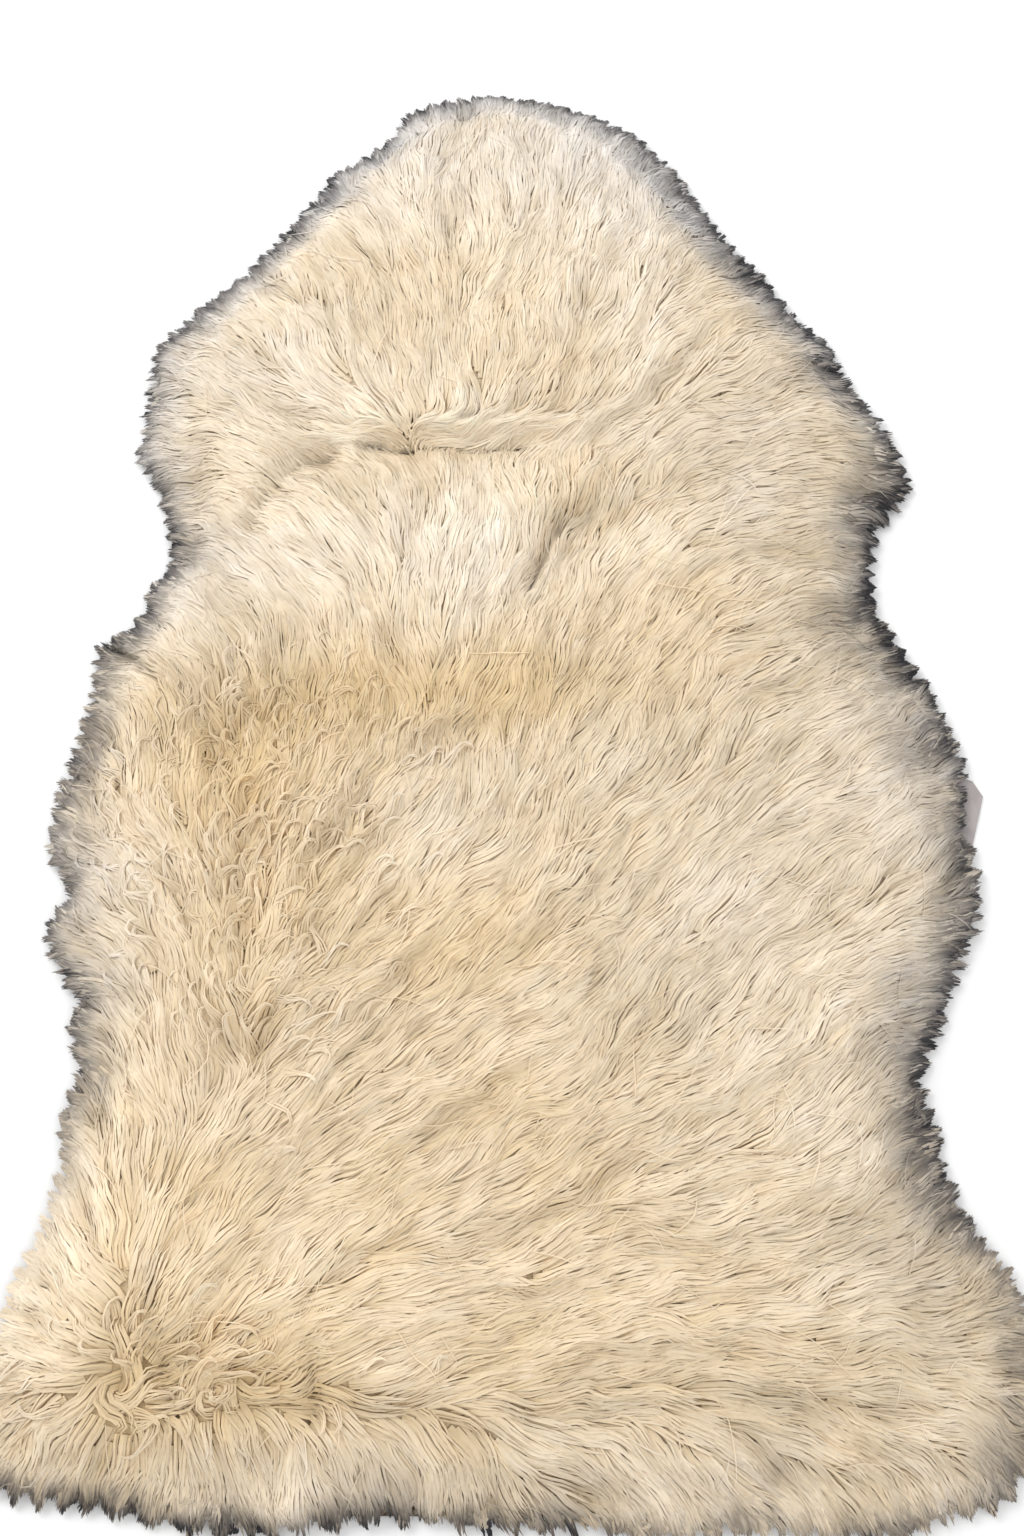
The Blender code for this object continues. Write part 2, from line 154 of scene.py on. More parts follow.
# Where the ends of the wool curl round, and how far, in degrees. Below 0 they curl to the right.
CURLS = table(
    "place reach", "degrees",
    (-172 - 47j, 30, -150), (-195 - 85j, 30, -110), (-153 - 163j, 34, -120), (-146 - 226j, 24, -130),
    (-110 - 40j, 20, -90), (-205 - 395j, 28, -100), (-150 - 400j, 25, 120),
)

# Where single short tufts lie tousled on top of the combed wool, and how thickly, from 0 to 1.
TOUSLED = table(
    "place reach_x reach_y", "share",
    (-150 - 45j, 55, 30, 1), (-150 - 110j, 50, 50, 1), (-215 - 120j, 35, 70, 0.6), (-75 - 62j, 35, 22, 0.7),
    (-160 - 190j, 50, 50, 0.6), (-185 - 405j, 55, 20, 0.9),
)
HOOKED = (70, 170)  # degrees that the ends of these turn to the right

# Lines along which the wool parts or lies in a hollow, or in a ridge where depth is below 0, with painted
# shade
# along them: darker along a hollow, lighter along the ridge. Along a closed line the wool of both sides ends.
FURROWS = table(
    "width depth line", "shade closed",
    (1.5, 1.4, (-103 + 163j, -90 + 163.2j, -76 + 160j, -60 + 160.6j), -0.26, 1),
    (1.4, 1.2, (-60 + 160.6j, -45 + 161.8j, -21 + 158.8j, 6 + 162.2j), -0.2, 1),
    (4.5, 0.5, (-95 + 158j, -50 + 157j, 4 + 158j), -0.03, 0),
    (2.6, 2.4, (-101 + 161.8j, -88 + 162.2j), -0.38, 0), (2, 2, (-75 + 176.5j, -63 + 179.5j), -0.38, 0),
    (2.2, 2.4, (-73 + 160j, -68 + 159j), -0.42, 0), (2, 2, (-36 + 178.5j, -26 + 180.5j), -0.36, 0),
    (8, -4, (-128 + 169j, -70 + 173j, -30 + 173j, 40 + 175j), 0.03, 0),
    (3.2, 6, (-120 + 158j, -140 + 150.5j, -154 + 140j, -172 + 105j), -0.13, 0),
    (8, 7, (28 + 106j, 64 + 118j), -0.14, 0), (2.8, 6, (8 + 59j, 20 + 91j, 28 + 106j), -0.12, 0),
    (1.6, 7, (-275 + 40j, -259.6 + 29.4j, -250 + 24j), -0.8, 1),
    (1.2, 6, (-248.5 + 23j, -240.6 + 17.5j), -0.48, 1), (1.1, 3, (-240.6 + 17.5j, -233.3 + 6j), -0.38, 0),
    (1, 3, (-240 + 18.5j, -226.8 + 5j), -0.4, 0),
    (6, 1, (-262 + 36j, -250 + 29j, -240.6 + 22.5j), -0.14, 0),
    (7, 6, (-226 + 7j, -195 - 18j, -178 - 60j), -0.08, 0),
    (6, 4, (-112 - 110j, -70 - 55j, -20 - 30j), -0.06, 0),
    (4, 6, (-197 - 348j, -194 - 385j, -180 - 415j), -0.12, 0), (5, 6, (-108 - 385j, -106 - 420j), -0.12, 0),
)

# The height of the wool.
WEDGE = (0.0015, 0.014)  # at the ends of the wool, and WEDGE_REACH inside them
WEDGE_REACH = 0.025
RELIEF_FROM = 0.02  # where the fleece's own relief takes over
RELIEF_BLEND = 0.012
RELIEF_BLUR = 0.0035
LEAST_HEIGHT = 0.0006  # of a strand above the floor

# Tufts: unevenness of the wool that is drawn out along its combing.
TUFTS = table(
    "height reach length", "seed",
    (0.7, 2.2, 18, 21), (1, 4.5, 28, 22), (1.2, 10, 40, 23),
)
TUFT_STEPS = 8
TUFT_PAINTED_HIGHLIGHT = 0.02  # painted highlight: how much brighter their crests are, and darker their hollows
TUFT_GOLD = 0.02  # how much less golden

# The wool itself, in locks of strands. Each coat is combed from its own roots.
COATS = {  # body, rim, hooks, loose, crease
    "pitch": (9.2, 6.2, 8.8, 20, 2.6),  # of the roots, in millimetres, as the next eight are
    "from_rim": (14, 0, 30, 25, 0),  # how far inside the ends of the wool they are, at least
    "length": (39, 34, 27, 50, 30),  # of the locks
    "half_width": (6.2, 3.4, 4.2, 1, 2.6),
    "crown": (0.8, 1, 1.2, 1, 1),  # how high the middle of a lock's round back is
    "depth": (2.6, 3, 3, 3, 2),  # how deep the roots lie
    "proud": (1, 0.8, 4.2, 3.6, 2.2),  # how far a lock stands out, at most
    "width": (1.45, 1.15, 0.8, 0.6, 1.1),  # of a strand
    "stop": ((0, 10), (0, 1), (4, 10), (2, 10), (0, 10)),  # how far inside those a lock ends
    "spread": (0.22, 0.12, 0.35, 0.35, 0.3),  # how unevenly long the locks are
    "tip_width": (0.78, 0.45, 0.6, 0.35, 0.45),  # of a lock's end, as a share of its width
    "clumps": (4, 2, 1, 1, 2),  # in which the strands of a lock end
    "strands": (12, 9, 8, 1, 8),  # of a lock
    "stray": (5, 7, 26, 26, 9),  # degrees from the combing
    "curl_start": (0.55, 0.55, 0.45, 0.3, 0.4),  # share of its length from which a lock curls
    "gold": (0, 0, -0.15, -0.1, -0.06),
    "tone": (0.945, 0.945, 0.98, 0.98, 0.99),
}
BODY, RIM, HOOKS, LOOSE, CREASE = table(
    " ".join(list(COATS)[:9]), " ".join(list(COATS)[9:]), *zip(*COATS.values())
)
CREASE_LINE = (-0.112 + 0.163j, 0.02 + 0.164j)
CREASE_ROWS = (-0.0004, 0.0035, 0.0075, 0.0115)  # of roots, above that line
CREASE_CURL = (-10, 35)  # degrees
CREASE_WAVE = (0.0014, 0.053)  # height and length of that line's wave
LOOSE_CURL = 40  # degrees, either way
OWN_CURLS = (0.5, 1.2)  # shares of it that the body's locks curl by
RIM_ROWS = (0.016, 0.021, 0.027)  # of roots, inside the ends of the wool
RIM_OUT = 0.35  # how much these locks point straight out
PATH_STEPS = 24
LEAST_REACHED = 0.12  # share of its length that a strand needs
CLOSED_FROM = (0.3, 0.8)  # how closed the wool is where strands end
BODY_PIECES = ("wool_neck", "wool_shoulder", "wool_belly", "wool_hip", "wool_rump")
STOP_SPREAD = 0.0004  # how unevenly a lock's strands end at the rim
OWN_LENGTHS = (0.72, 1.0)  # of strands, as shares of their lock's
OWN_WIDTHS = (0.7, 1.2)  # as shares of their coat's
TURN_MOST = math.radians(80)  # how far round a lock's back its strands lie
TURN_SPREAD = 0.12  # how unevenly
LEAST_OUT = 0.35  # how far out, at least, squared
TIP_SPREAD = 0.25  # how unevenly they draw together
CROWN_LOST = 0.7  # share of the crown that is lost at the end
ROLL_SHARE = 0.2  # how far strands roll with a lock's round back
ROLL_SPREAD = math.radians(2)  # how unevenly
WAVE_LENGTH = 0.02  # of strands, to the side
WAVE_HEIGHT = 0.0003
OWN_WAVES = (0.4, 1.6)  # as shares of that height
PHASE_SPREAD = 0.2  # radians between the strands of a lock
LIFT_SPREAD = 0.0002  # how unevenly high they lie

# The colours of the wool, as they look in daylight, with the painted shade and highlights laid over them.
WOOL_COLOUR = "wool_colour"  # the mesh attribute, as light that is sent back, painted shade included
LIGHT_LIMITS = (0.01, 0.95)  # of that light
SCREEN_GAMMA = 2.2
IVORY = (0.985, 0.945, 0.89)
GOLD = (0.915, 0.8, 0.61)
# The dark grey of the painted shadow at the wool's ends.
RIM_SHADOW_COLOUR = (0.145, 0.138, 0.152)
GOLD_LIMITS = (-0.25, 1.15)
USUAL_GOLD = 0.43  # from ivory at 0 to gold at 1
ROOT_GOLD = 0.2  # how much more golden a strand's root is
ROOT_SHADE = 0.95  # how bright it is next to its end
GOLD_PATCHES = (0.022, 31, 0.05)  # reach, seed and spread of patches of more gold
SHADE_PATCHES = (0.03, 32, 0.02)  # of brighter patches
REACH_PATCHES = (0.012, 33, 0.2)  # of patches where the painted rim shadow reaches further in
SHADE_REACHES = (0.03, 0.062)  # how far in the painted rim shadow darkens the wool, and greys it
SHADE_WIDE = (0.3, 0.42)  # the second one's share, left and right
SIDES_BLEND = 0.2  # width over which left turns into right
PALE_REACH = 0.055  # how far in the wool is less golden
# How unevenly golden and bright the locks are, how unevenly the painted rim shadow darkens them, and how
# unevenly the strands of a lock.
GOLD_SPREAD, TONE_SPREAD, RIM_SHADOW_SPREAD = (0.035, 0.03), (0.02, 0.035), (0.23, 0.08)
RIM_SHADOW_IN_GAPS = 0.22  # how much more painted rim shadow between the rim's points, and less at the tips
# Patches of the wool's own tone, how golden and how bright; the darker patches on the right side, away from
# the key lamp, and on the crease are painted shade.
TINTS = table(
    "place reach_x reach_y", "gold shade",
    (0 + 400j, 200, 100, -0.38, -0.065), (60 + 410j, 50, 40, -0.2, 0.03), (-20 + 330j, 50, 60, 0.14, -0.01),
    (-200 + 220j, 60, 70, -0.3, -0.05), (-100 + 80j, 120, 35, -0.22, 0.03),
    (120 + 250j, 100, 120, -0.12, -0.04), (-100 - 10j, 90, 35, 0.42, -0.09), (0 - 10j, 90, 30, 0.22, 0),
    (-170 - 60j, 60, 50, 0.42, -0.03), (-10 - 165j, 50, 35, 0.26, -0.02), (7 - 275j, 60, 40, 0.2, -0.02),
    (-131 - 405j, 50, 30, 0.38, -0.08), (-200 - 400j, 40, 30, 0.2, -0.06),
    (100 - 400j, 160, 40, 0.16, -0.02), (220 - 100j, 80, 200, -0.16, -0.02),
    (-230 - 150j, 40, 120, -0.1, 0.02), (-150 - 160j, 100, 50, 0.18, -0.02),
    (-90 - 230j, 90, 50, 0.18, -0.02), (-110 - 360j, 120, 60, 0.14, 0.04), (40 - 30j, 100, 35, 0.06, -0.08),
    (260 - 50j, 50, 220, 0, -0.07), (190 + 80j, 60, 120, 0, -0.08), (50 - 470j, 300, 30, -0.04, 0.03),
    (150 - 440j, 80, 40, -0.08, 0.08), (-10 + 120j, 40, 30, 0, 0.07), (-190 + 120j, 60, 30, 0, -0.04),
    (-45 + 154j, 30, 6, 0.1, -0.05), (-120 - 120j, 60, 70, 0, 0.06), (-210 - 330j, 60, 80, 0, 0.09),
    (90 - 310j, 80, 30, 0, 0.035), (30 + 235j, 50, 30, 0, 0.04), (-215 + 165j, 40, 30, 0, -0.05),
    (230 - 340j, 70, 50, -0.04, -0.07),
)

# How dark the painted shadow at the rim is on each side, how far in it reaches, as a share of the usual, and
# how much less golden the wool is there.
RIM_SHADES = table(
    "y", "left right left_reach right_reach pale",
    (-480, 1, 0.64, 0.9, 0.7, 0), (-455, 0.8, 0.62, 0.8, 0.75, 0), (-435, 0.12, 0.36, 0.7, 1.6, 0),
    (-390, 0.02, 0.32, 0.8, 1.9, 0.05), (-340, 0.08, 0.52, 0.8, 1.5, 0.1),
    (-300, 0.32, 0.92, 0.8, 0.85, 0.15), (-220, 0.68, 0.94, 0.8, 0.9, 0.2),
    (-150, 0.84, 0.9, 0.85, 0.88, 0.25), (-115, 0.64, 0.84, 0.75, 0.84, 0.3),
    (-70, 0.62, 0.98, 0.9, 0.95, 0.3), (-30, 0.64, 1.1, 1, 1.1, 0.3), (88, 0.88, 1.14, 1, 1.1, 0.3),
    (140, 0.84, 0.96, 0.84, 1.14, 0.4), (194, 0.88, 1, 0.7, 1.12, 0.45), (289, 0.95, 1.04, 0.92, 0.94, 0.5),
    (378, 0.93, 1.02, 0.9, 0.85, 0.6), (480, 0.98, 0.94, 0.68, 0.7, 0.6),
)

# The matted wool under the locks.
BED_INSET = 0.0175  # from the ends of the wool
BED_LEAST_INSET = 0.93  # share of that which its rim needs
BED_EVERY = 5  # points of the outline for one of its rim
BED_SUNK = 0.003  # below the wool's height
BED_HOLLOW = 0.003  # how much deeper under a furrow
HOLLOW_WIDER = 0.003  # than the furrow itself
BED_PITCH = 0.0065  # of its inner points
BED_APART = 0.6  # pitches, at least, between these and its rim
FURROW_STEP = 0.0025  # between its points along a furrow
FURROW_SIDES = (-2.5, -1, 0, 1, 2.5)  # furrow widths to the side of them
BED_LEAST = 0.0032  # of its upper side's height
BED_BASE = 0.0024  # its underside's height
BED_SHADE = 0.92  # how bright it is next to the wool's ends

# The label, a woven tape folded at its outer edge.
LABEL_OUTER_MIDDLE = 0.284 - 0.0815j
LABEL_ANGLE = math.radians(-17)
LABEL_WIDTH = 0.042
LABEL_LENGTH = 0.052  # from its fold to the seam on the skin
LABEL_LEVELS = metres(((-52, 2.6), (-35, 2.6), (-25, 0.6), (0, 0.6)))  # (outwards, middle height)
LABEL_CUT = 0.008  # of its upper corner
TAPE_THICKNESS = 0.00035
TAPE_APART = 0.0002  # of the two layers
TAPE_PLIES = 36  # points along it, then across it and round its fold
TAPE_SIDES = 22
TAPE_FOLD_STEPS = 9
TAPE_RAISED = 0.0002  # of its visible end off the floor, at most twice over
TAPE_RAISED_REACH = 0.025  # from its fold
TAPE_WAVE = 3  # radians from its middle to its side
TAPE_CUT_REACH = 0.02  # from its fold
TAPE_RIBS = 400  # scale of the weave's bands
LABEL_SHOWN = (0.0061, 0.0105)  # how far it shows, at its lower and its upper side
LABEL_UNEVEN = 0.3  # share of the rim's teeth in the wool over it
LIFT = 0.003  # of the wool over the label's visible end
LIFT_REACH = 0.02
LIFT_IN = 0.004  # of its middle from the label's fold
LIFT_HALF = 0.3  # share of the label's width to each side

# The floor, the two lamps, which are aimed at the middle of the rug, and the sky.
FLOOR_SIZE = 12
FLOOR_COLOUR = (0.97, 0.97, 0.97)
FLOOR_ROUGHNESS = 0.8
LAMPS = table(
    "", "name place size power",
    ("key_light", (-1.3, 0.9, 1.5), 1.4, 24), ("fill_light", (1.4, -0.8, 1.6), 1.8, 10),
)
SKY = 0.77


# ---- Fields over the plan ----


def smooth_loop(points, count):
    """count points along a smooth closed curve through points, anticlockwise."""
    points = np.array(points)
    step = np.arange(count) * len(points) / count
    index = step.astype(int)
    t = step - index
    before, start, end, after = (points[(index + k) % len(points)] for k in (-1, 0, 1, 2))
    cubic = 3 * (start - end) + after - before
    square = 2 * before - 5 * start + 4 * end - after
    return start + 0.5 * t * (end - before + t * (square + t * cubic))


def wool_outline():
    """The ends of the longest wool, as a smooth closed line."""
    right = [complex(row.right, row.y) for row in OUTLINE]
    left = [complex(row.left, row.y) for row in reversed(OUTLINE)]
    line = smooth_loop([*right, *NECK_END, *left, *RUMP_END], OUTLINE_POINTS)
    out = way_out(line)
    even = sum(np.roll(out, step) for step in range(-OUT_EVENED, OUT_EVENED + 1))
    return line + TIPS_PAST * unit(even)


def way_out(line):
    """The way straight out at each point of an anticlockwise closed line."""
    return unit(-1j * (np.roll(line, -1) - np.roll(line, 1)))


def teeth(outline, combing, chance):
    """How far inside the outline's points the wool really ends, in teeth that lean as it is combed."""
    scale = np.where(outline.imag < TUFTED_BELOW, TUFTED_SCALE, 1.0)
    place = np.cumsum(np.abs(np.roll(outline, -1) - outline) / scale)
    marks = np.cumsum(chance.uniform(*TOOTH_PITCH, int(place[-1] / TOOTH_PITCH[0])))
    tooth = np.searchsorted(marks, place)
    low = np.concatenate([[0.0], marks])[tooth]
    across = (place - low) / (marks[tooth] - low)
    onward = 1j * way_out(outline)
    point = 0.5 + TOOTH_LEAN * (read(combing, outline) * onward.conj()).real
    short = np.where(across < point, (point - across) / point, (across - point) / (1 - point))
    depth = chance.uniform(*TOOTH_DEPTH, len(marks))[tooth] * scale
    inset = chance.uniform(0, TOOTH_INSET, len(marks))[tooth]
    lobes = np.arange(0, place[-1] + LOBE_PITCH, LOBE_PITCH)
    lobe = np.interp(place, lobes, chance.uniform(0, LOBE_DEPTH, len(lobes)))
    return inset + lobe + depth * short


def nearest_on(outline, points):
    """The number of the outline's point that is nearest to each point."""
    parts = np.array_split(points, NEAREST_PARTS)
    return np.concatenate([np.abs(part[:, None] - outline).argmin(axis=1) for part in parts])


def read(field, points):
    """A field's values at plan points, from the four grid points around each."""
    place = (points - GRID_LOW) / GRID_PITCH
    x = np.clip(place.real, 0, GRID_SHAPE[0] - GRID_END)
    y = np.clip(place.imag, 0, GRID_SHAPE[1] - GRID_END)
    column, row = x.astype(int), y.astype(int)
    x, y = x - column, y - row
    low = field[column, row] * (1 - x) + field[column + 1, row] * x
    high = field[column, row + 1] * (1 - x) + field[column + 1, row + 1] * x
    return low * (1 - y) + high * y


def blurred(field, reach):
    """A field evened out over about reach."""
    across = np.fft.fftfreq(GRID_SHAPE[0], GRID_PITCH)[:, None]
    along = np.fft.fftfreq(GRID_SHAPE[1], GRID_PITCH)
    keep = np.exp(-2 * (math.pi * reach) ** 2 * (across**2 + along**2))
    even = np.fft.ifft2(np.fft.fft2(field) * keep)
    return even if np.iscomplexobj(field) else even.real


def uneven(reach, seed, spread=1.0):
    """A random field that changes over about reach."""
    field = blurred(np.random.default_rng(seed).standard_normal(GRID_SHAPE), reach)
    return spread * (field / field.std())


def smooth(share):
    """A share from 0 to 1, eased at both ends."""
    share = np.clip(share, 0, 1)
    return share * share * (3 - 2 * share)


def fading(away, reach):
    """1 where away is 0, falling off over reach."""
    return np.exp(-((away / reach) ** 2))


def share_near(part):
    """1 at a part's place, falling off over its reaches."""
    away = GRID - part.place
    return np.exp(-((away.real / part.reach_x) ** 2) - (away.imag / part.reach_y) ** 2)


def unit(ways):
    return ways / np.maximum(np.abs(ways), 1e-9)


def row_at(rows, y):
    """A table's row at y, between its own rows, whose y grows."""
    columns = np.array(rows).T
    return rows[0]._make(np.interp(y, columns[0], column) for column in columns)


def within(outline):
    """Whether each grid point lies within a closed line, which its row of the grid crosses."""
    start, end = outline, np.roll(outline, -1)
    answer = np.zeros(GRID_SHAPE, dtype=bool)
    for row, y in enumerate(GRID[0].imag):
        crossed = (start.imag > y) != (end.imag > y)
        low, high = start[crossed], end[crossed]
        x = low.real + (y - low.imag) * (high - low).real / (high - low).imag
        answer[:, row] = (x < GRID[:, row].real[:, None]).sum(axis=1) % 2 == 1
    return answer


def rim_fields(outline):
    """How far inside the wool's ends each grid point lies, and the way straight out there."""
    nearest = nearest_on(outline, GRID.ravel()).reshape(GRID_SHAPE)
    inside = np.abs(GRID - outline[nearest]) * np.where(within(outline), 1, -1)
    return inside, unit(blurred(way_out(outline)[nearest], GRID_PITCH))


def height_field(fleece, inside):
    """The wool's height: the fleece's own relief, thinned to a wedge where it meets the floor."""
    corners = [v.co.copy() for v in fleece.data.vertices]
    tree = BVHTree.FromPolygons(corners, [p.vertices[:] for p in fleece.data.polygons])
    above, down = 2 * max(v.z for v in corners), Vector((0, 0, -1))
    relief = np.zeros(GRID_SHAPE)
    for place in np.argwhere(inside > 0):
        point = GRID[tuple(place)]
        hit = tree.ray_cast(Vector((point.real, point.imag, above)), down)[0]
        relief[tuple(place)] = hit.z if hit else 0
    wedge = np.interp(inside, (0, WEDGE_REACH), WEDGE)
    relieved = smooth((inside - RELIEF_FROM) / RELIEF_BLEND)
    return wedge + (blurred(relief, RELIEF_BLUR) - wedge) * relieved


def combing_field(inside, out):
    """The direction in which the wool's ends point."""
    angles = np.zeros(GRID_SHAPE)
    for row, y in enumerate(GRID[0].imag):
        band, ends = row_at(COMBING[::-1], y), row_at(OUTLINE, y)
        share = np.clip((GRID[:, row].real - ends.left) / (ends.right - ends.left), 0, 1)
        left_part = np.interp(share, (0, band.parting), (band.rim_left, band.left))
        right_part = np.interp(share, (band.parting, *COMBING_PLACES), band[4:])
        angles[:, row] = np.where(share < band.parting, left_part, right_part)
    ways = unit(blurred(np.exp(1j * np.radians(angles)), COMBING_BLUR))
    for sweep in SWEEPS:
        share = share_near(sweep)
        ways = ways * (1 - share) + np.exp(1j * math.radians(sweep.degrees)) * share
    ways = unit(ways)
    for stray in STRAYS:
        ways = ways * np.exp(1j * math.radians(stray.degrees) * uneven(stray.reach, stray.seed))
    for whorl in WHORLS:
        away = GRID - whorl.place
        share = fading(np.abs(away), whorl.reach)
        ways = ways * (1 - share) + unit(away * 1j * whorl.turn) * share
    share = OUT_AT_RIM * (1 - smooth(inside / OUT_REACH))
    return unit(ways * (1 - share) + out * share)


def drawn_out(combing, tufts):
    """A random field that changes over the tufts' reach, and their length along the combing."""
    start = uneven(tufts.reach, tufts.seed)
    total = start
    for way in (tufts.length / TUFT_STEPS, -tufts.length / TUFT_STEPS):
        place = GRID
        for _ in range(TUFT_STEPS):
            place = place + way * read(combing, place)
            total = total + read(start, place)
    return total / total.std()


def distance_to(line):
    """How far each grid point lies from a line through some points."""
    nearest = np.full(GRID_SHAPE, np.inf)
    for start, end in zip(line, line[1:]):
        share = np.clip(((GRID - start) * (end - start).conjugate()).real / abs(end - start) ** 2, 0, 1)
        nearest = np.minimum(nearest, np.abs(GRID - start - share * (end - start)))
    return nearest


def tousled_field():
    """How thickly the tousled tufts lie."""
    return np.max([part.share * share_near(part) for part in TOUSLED], axis=0)


def curl_field():
    """How far the ends of the wool curl round, in radians."""
    return sum(math.radians(curl.degrees) * fading(np.abs(GRID - curl.place), curl.reach) for curl in CURLS)


def tint_fields():
    """How golden the wool is, and how bright: its own tone, with painted shade in some of its patches."""
    gold = np.full(GRID_SHAPE, USUAL_GOLD) + uneven(*GOLD_PATCHES)
    shade = 1 + uneven(*SHADE_PATCHES)
    for tint in TINTS:
        share = share_near(tint)
        gold += tint.gold * share
        shade += tint.shade * share
    return gold, shade


def rim_shade_fields(inside):
    """How much painted shadow darkens the wool towards the rim, and how much less golden it is there."""
    shades = row_at(RIM_SHADES, GRID.imag)
    side = smooth(GRID.real / SIDES_BLEND + 0.5)
    strength = shades.left * (1 - side) + shades.right * side
    usual = shades.left_reach * (1 - side) + shades.right_reach * side
    wide = SHADE_WIDE[0] * (1 - side) + SHADE_WIDE[1] * side
    greyed = 0
    for reach, share in zip(SHADE_REACHES, (1 - wide, wide)):
        reach = reach * usual * (1 + uneven(*REACH_PATCHES))
        greyed = greyed + share * strength * (1 - smooth(inside / reach))
    return greyed, shades.pale * (1 - smooth(inside / PALE_REACH))


def over_label():
    """1 over the label's visible end, falling off round it."""
    middle = LABEL_OUTER_MIDDLE - LIFT_IN * np.exp(1j * LABEL_ANGLE)
    away = (GRID - middle) * np.exp(-1j * LABEL_ANGLE)
    aside = np.maximum(np.abs(away.imag) - LABEL_WIDTH * LIFT_HALF, 0)
    return np.exp(-((away.real / LIFT_REACH) ** 2) - (aside / (LIFT_REACH / 2)) ** 2)


def make_fields(fleece, outline):
    """All that the wool is laid by, over the plan."""
    inside, out = rim_fields(outline)
    gold, shade = tint_fields()
    # Painted shadow towards the rim, where the wool is also less golden.
    greyed, paled = rim_shade_fields(inside)
    gold = gold - paled
    combing = combing_field(inside, out)
    height = height_field(fleece, inside)
    inner = smooth(inside / RELIEF_FROM)
    for tufts in TUFTS:
        crest = drawn_out(combing, tufts)
        height = height + tufts.height * crest * inner
        # Painted light and shade: each tuft's crest is made brighter and its hollows darker.
        shade = shade + TUFT_PAINTED_HIGHLIGHT * crest
        gold = gold - TUFT_GOLD * crest
    closed, hollow = np.zeros(GRID_SHAPE), np.zeros(GRID_SHAPE)
    for furrow in FURROWS:
        away = distance_to(furrow.line)
        share = fading(away, furrow.width)
        if furrow.depth > 0:
            hollow = np.maximum(hollow, fading(away, furrow.width + HOLLOW_WIDER))
        height = height - furrow.depth * share * inner
        # Painted shade along each furrow, and painted light along the ridge.
        shade = shade + furrow.shade * share
        closed = np.maximum(closed, furrow.closed * share)
    across, up = np.gradient(height, GRID_PITCH)
    return Fields(
        outline, teeth(outline, combing, np.random.default_rng(6)), inside, out, height,
        height - BED_SUNK - BED_HOLLOW * hollow, across + 1j * up, combing, curl_field(), tousled_field(),
        closed, gold, shade, greyed, LEAST_HEIGHT + LIFT * smooth(over_label() * 2),
    )


# ---- Locks and strands ----

Fields = namedtuple(
    "Fields",
    "outline teeth inside out height bed slope combing curl tousled closed gold shade greyed floor",
)
Locks = namedtuple("Locks", "paths proud tone gold grey")
Strands = namedtuple("Strands", "plan height slope roll width gold tone grey")

# A strand's points, as shares of its length, and how the strand changes along them.
STATIONS = np.array((0, 0.18, 0.35, 0.52, 0.68, 0.84, 1.0))
ROOTWARD = (1 - STATIONS) ** 1.5
DRAWN = smooth(STATIONS * 1.1)  # from its side at the root to that at the end
LIT = smooth(STATIONS * 1.4)  # from the root's brightness to the end's
ARCH = np.sqrt(np.sin(np.clip(STATIONS, 0.05, 0.95) * math.pi))  # how far it stands out
TAPER = np.interp(STATIONS, (0, 0.7, 1), (1, 1, 0.25))


def staggered(pitch, inside, least, chance):
    """Points in uneven staggered rows, at least so far inside the ends of the wool."""
    low, high = GRID[0, 0], GRID[-1, -1]
    across = np.arange(low.real, high.real, pitch)
    up = np.arange(low.imag, high.imag, pitch * math.sqrt(3) / 2)
    points = across + 1j * up[:, None]
    points[1::2] += pitch / 2
    x, y = chance.uniform(-ROOT_STRAY, ROOT_STRAY, (2, points.size))
    points = points.ravel() + pitch * (x + 1j * y)
    return points[read(inside, points) > least]


def comb_locks(roots, coat, fields, out_share, curl, chance):
    """Lays the locks from their roots along the combing, their ends curling round by curl."""
    count = len(roots)
    lengths = coat.length * (1 + coat.spread * chance.uniform(-1, 1, count))
    stray = np.radians(coat.stray) * chance.standard_normal(count)
    paths = [roots]
    for step in range(PATH_STEPS):
        here = paths[-1]
        ways = read(fields.combing, here) * (1 - out_share) + read(fields.out, here) * out_share
        turned = stray + curl * smooth((step / PATH_STEPS - coat.curl_start) / (1 - coat.curl_start))
        paths.append(here + unit(ways) * np.exp(1j * turned) * lengths / PATH_STEPS)
    return Locks(
        paths=np.array(paths).T,
        proud=coat.proud * chance.uniform(0, 1, count),
        tone=coat.tone * chance.normal(1, TONE_SPREAD[0], count),
        gold=coat.gold + chance.normal(0, GOLD_SPREAD[0], count),
        # How strongly the painted rim shadow falls on each lock.
        grey=chance.normal(1, RIM_SHADOW_SPREAD[0], count),
    )


def along(paths, which, shares):
    """Points at shares of the length of the paths numbered which."""
    place = np.clip(shares * PATH_STEPS, 0, PATH_STEPS - 1e-6)
    step = place.astype(int)
    which = which[:, None]
    return paths[which, step] * (1 - place + step) + paths[which, step + 1] * (place - step)


def tooth_stop(locks, which, side, fields):
    """How far inside the outline the teeth end each strand that reaches it."""
    inside = read(fields.inside, locks.paths)
    ending = inside < TOOTH_DEPTH[1]
    step = np.where(ending.any(axis=1), ending.argmax(axis=1), PATH_STEPS)
    each = np.arange(len(step))
    there = locks.paths[each, step]
    way = unit(there - locks.paths[each, step - 1])
    stop = np.zeros(len(which))
    reaches = (inside.min(axis=1) < 2 * TOOTH_DEPTH[1])[which]
    points = (there[which] + 1j * way[which] * side)[reaches]
    stop[reaches] = fields.teeth[nearest_on(fields.outline, points)]
    return stop


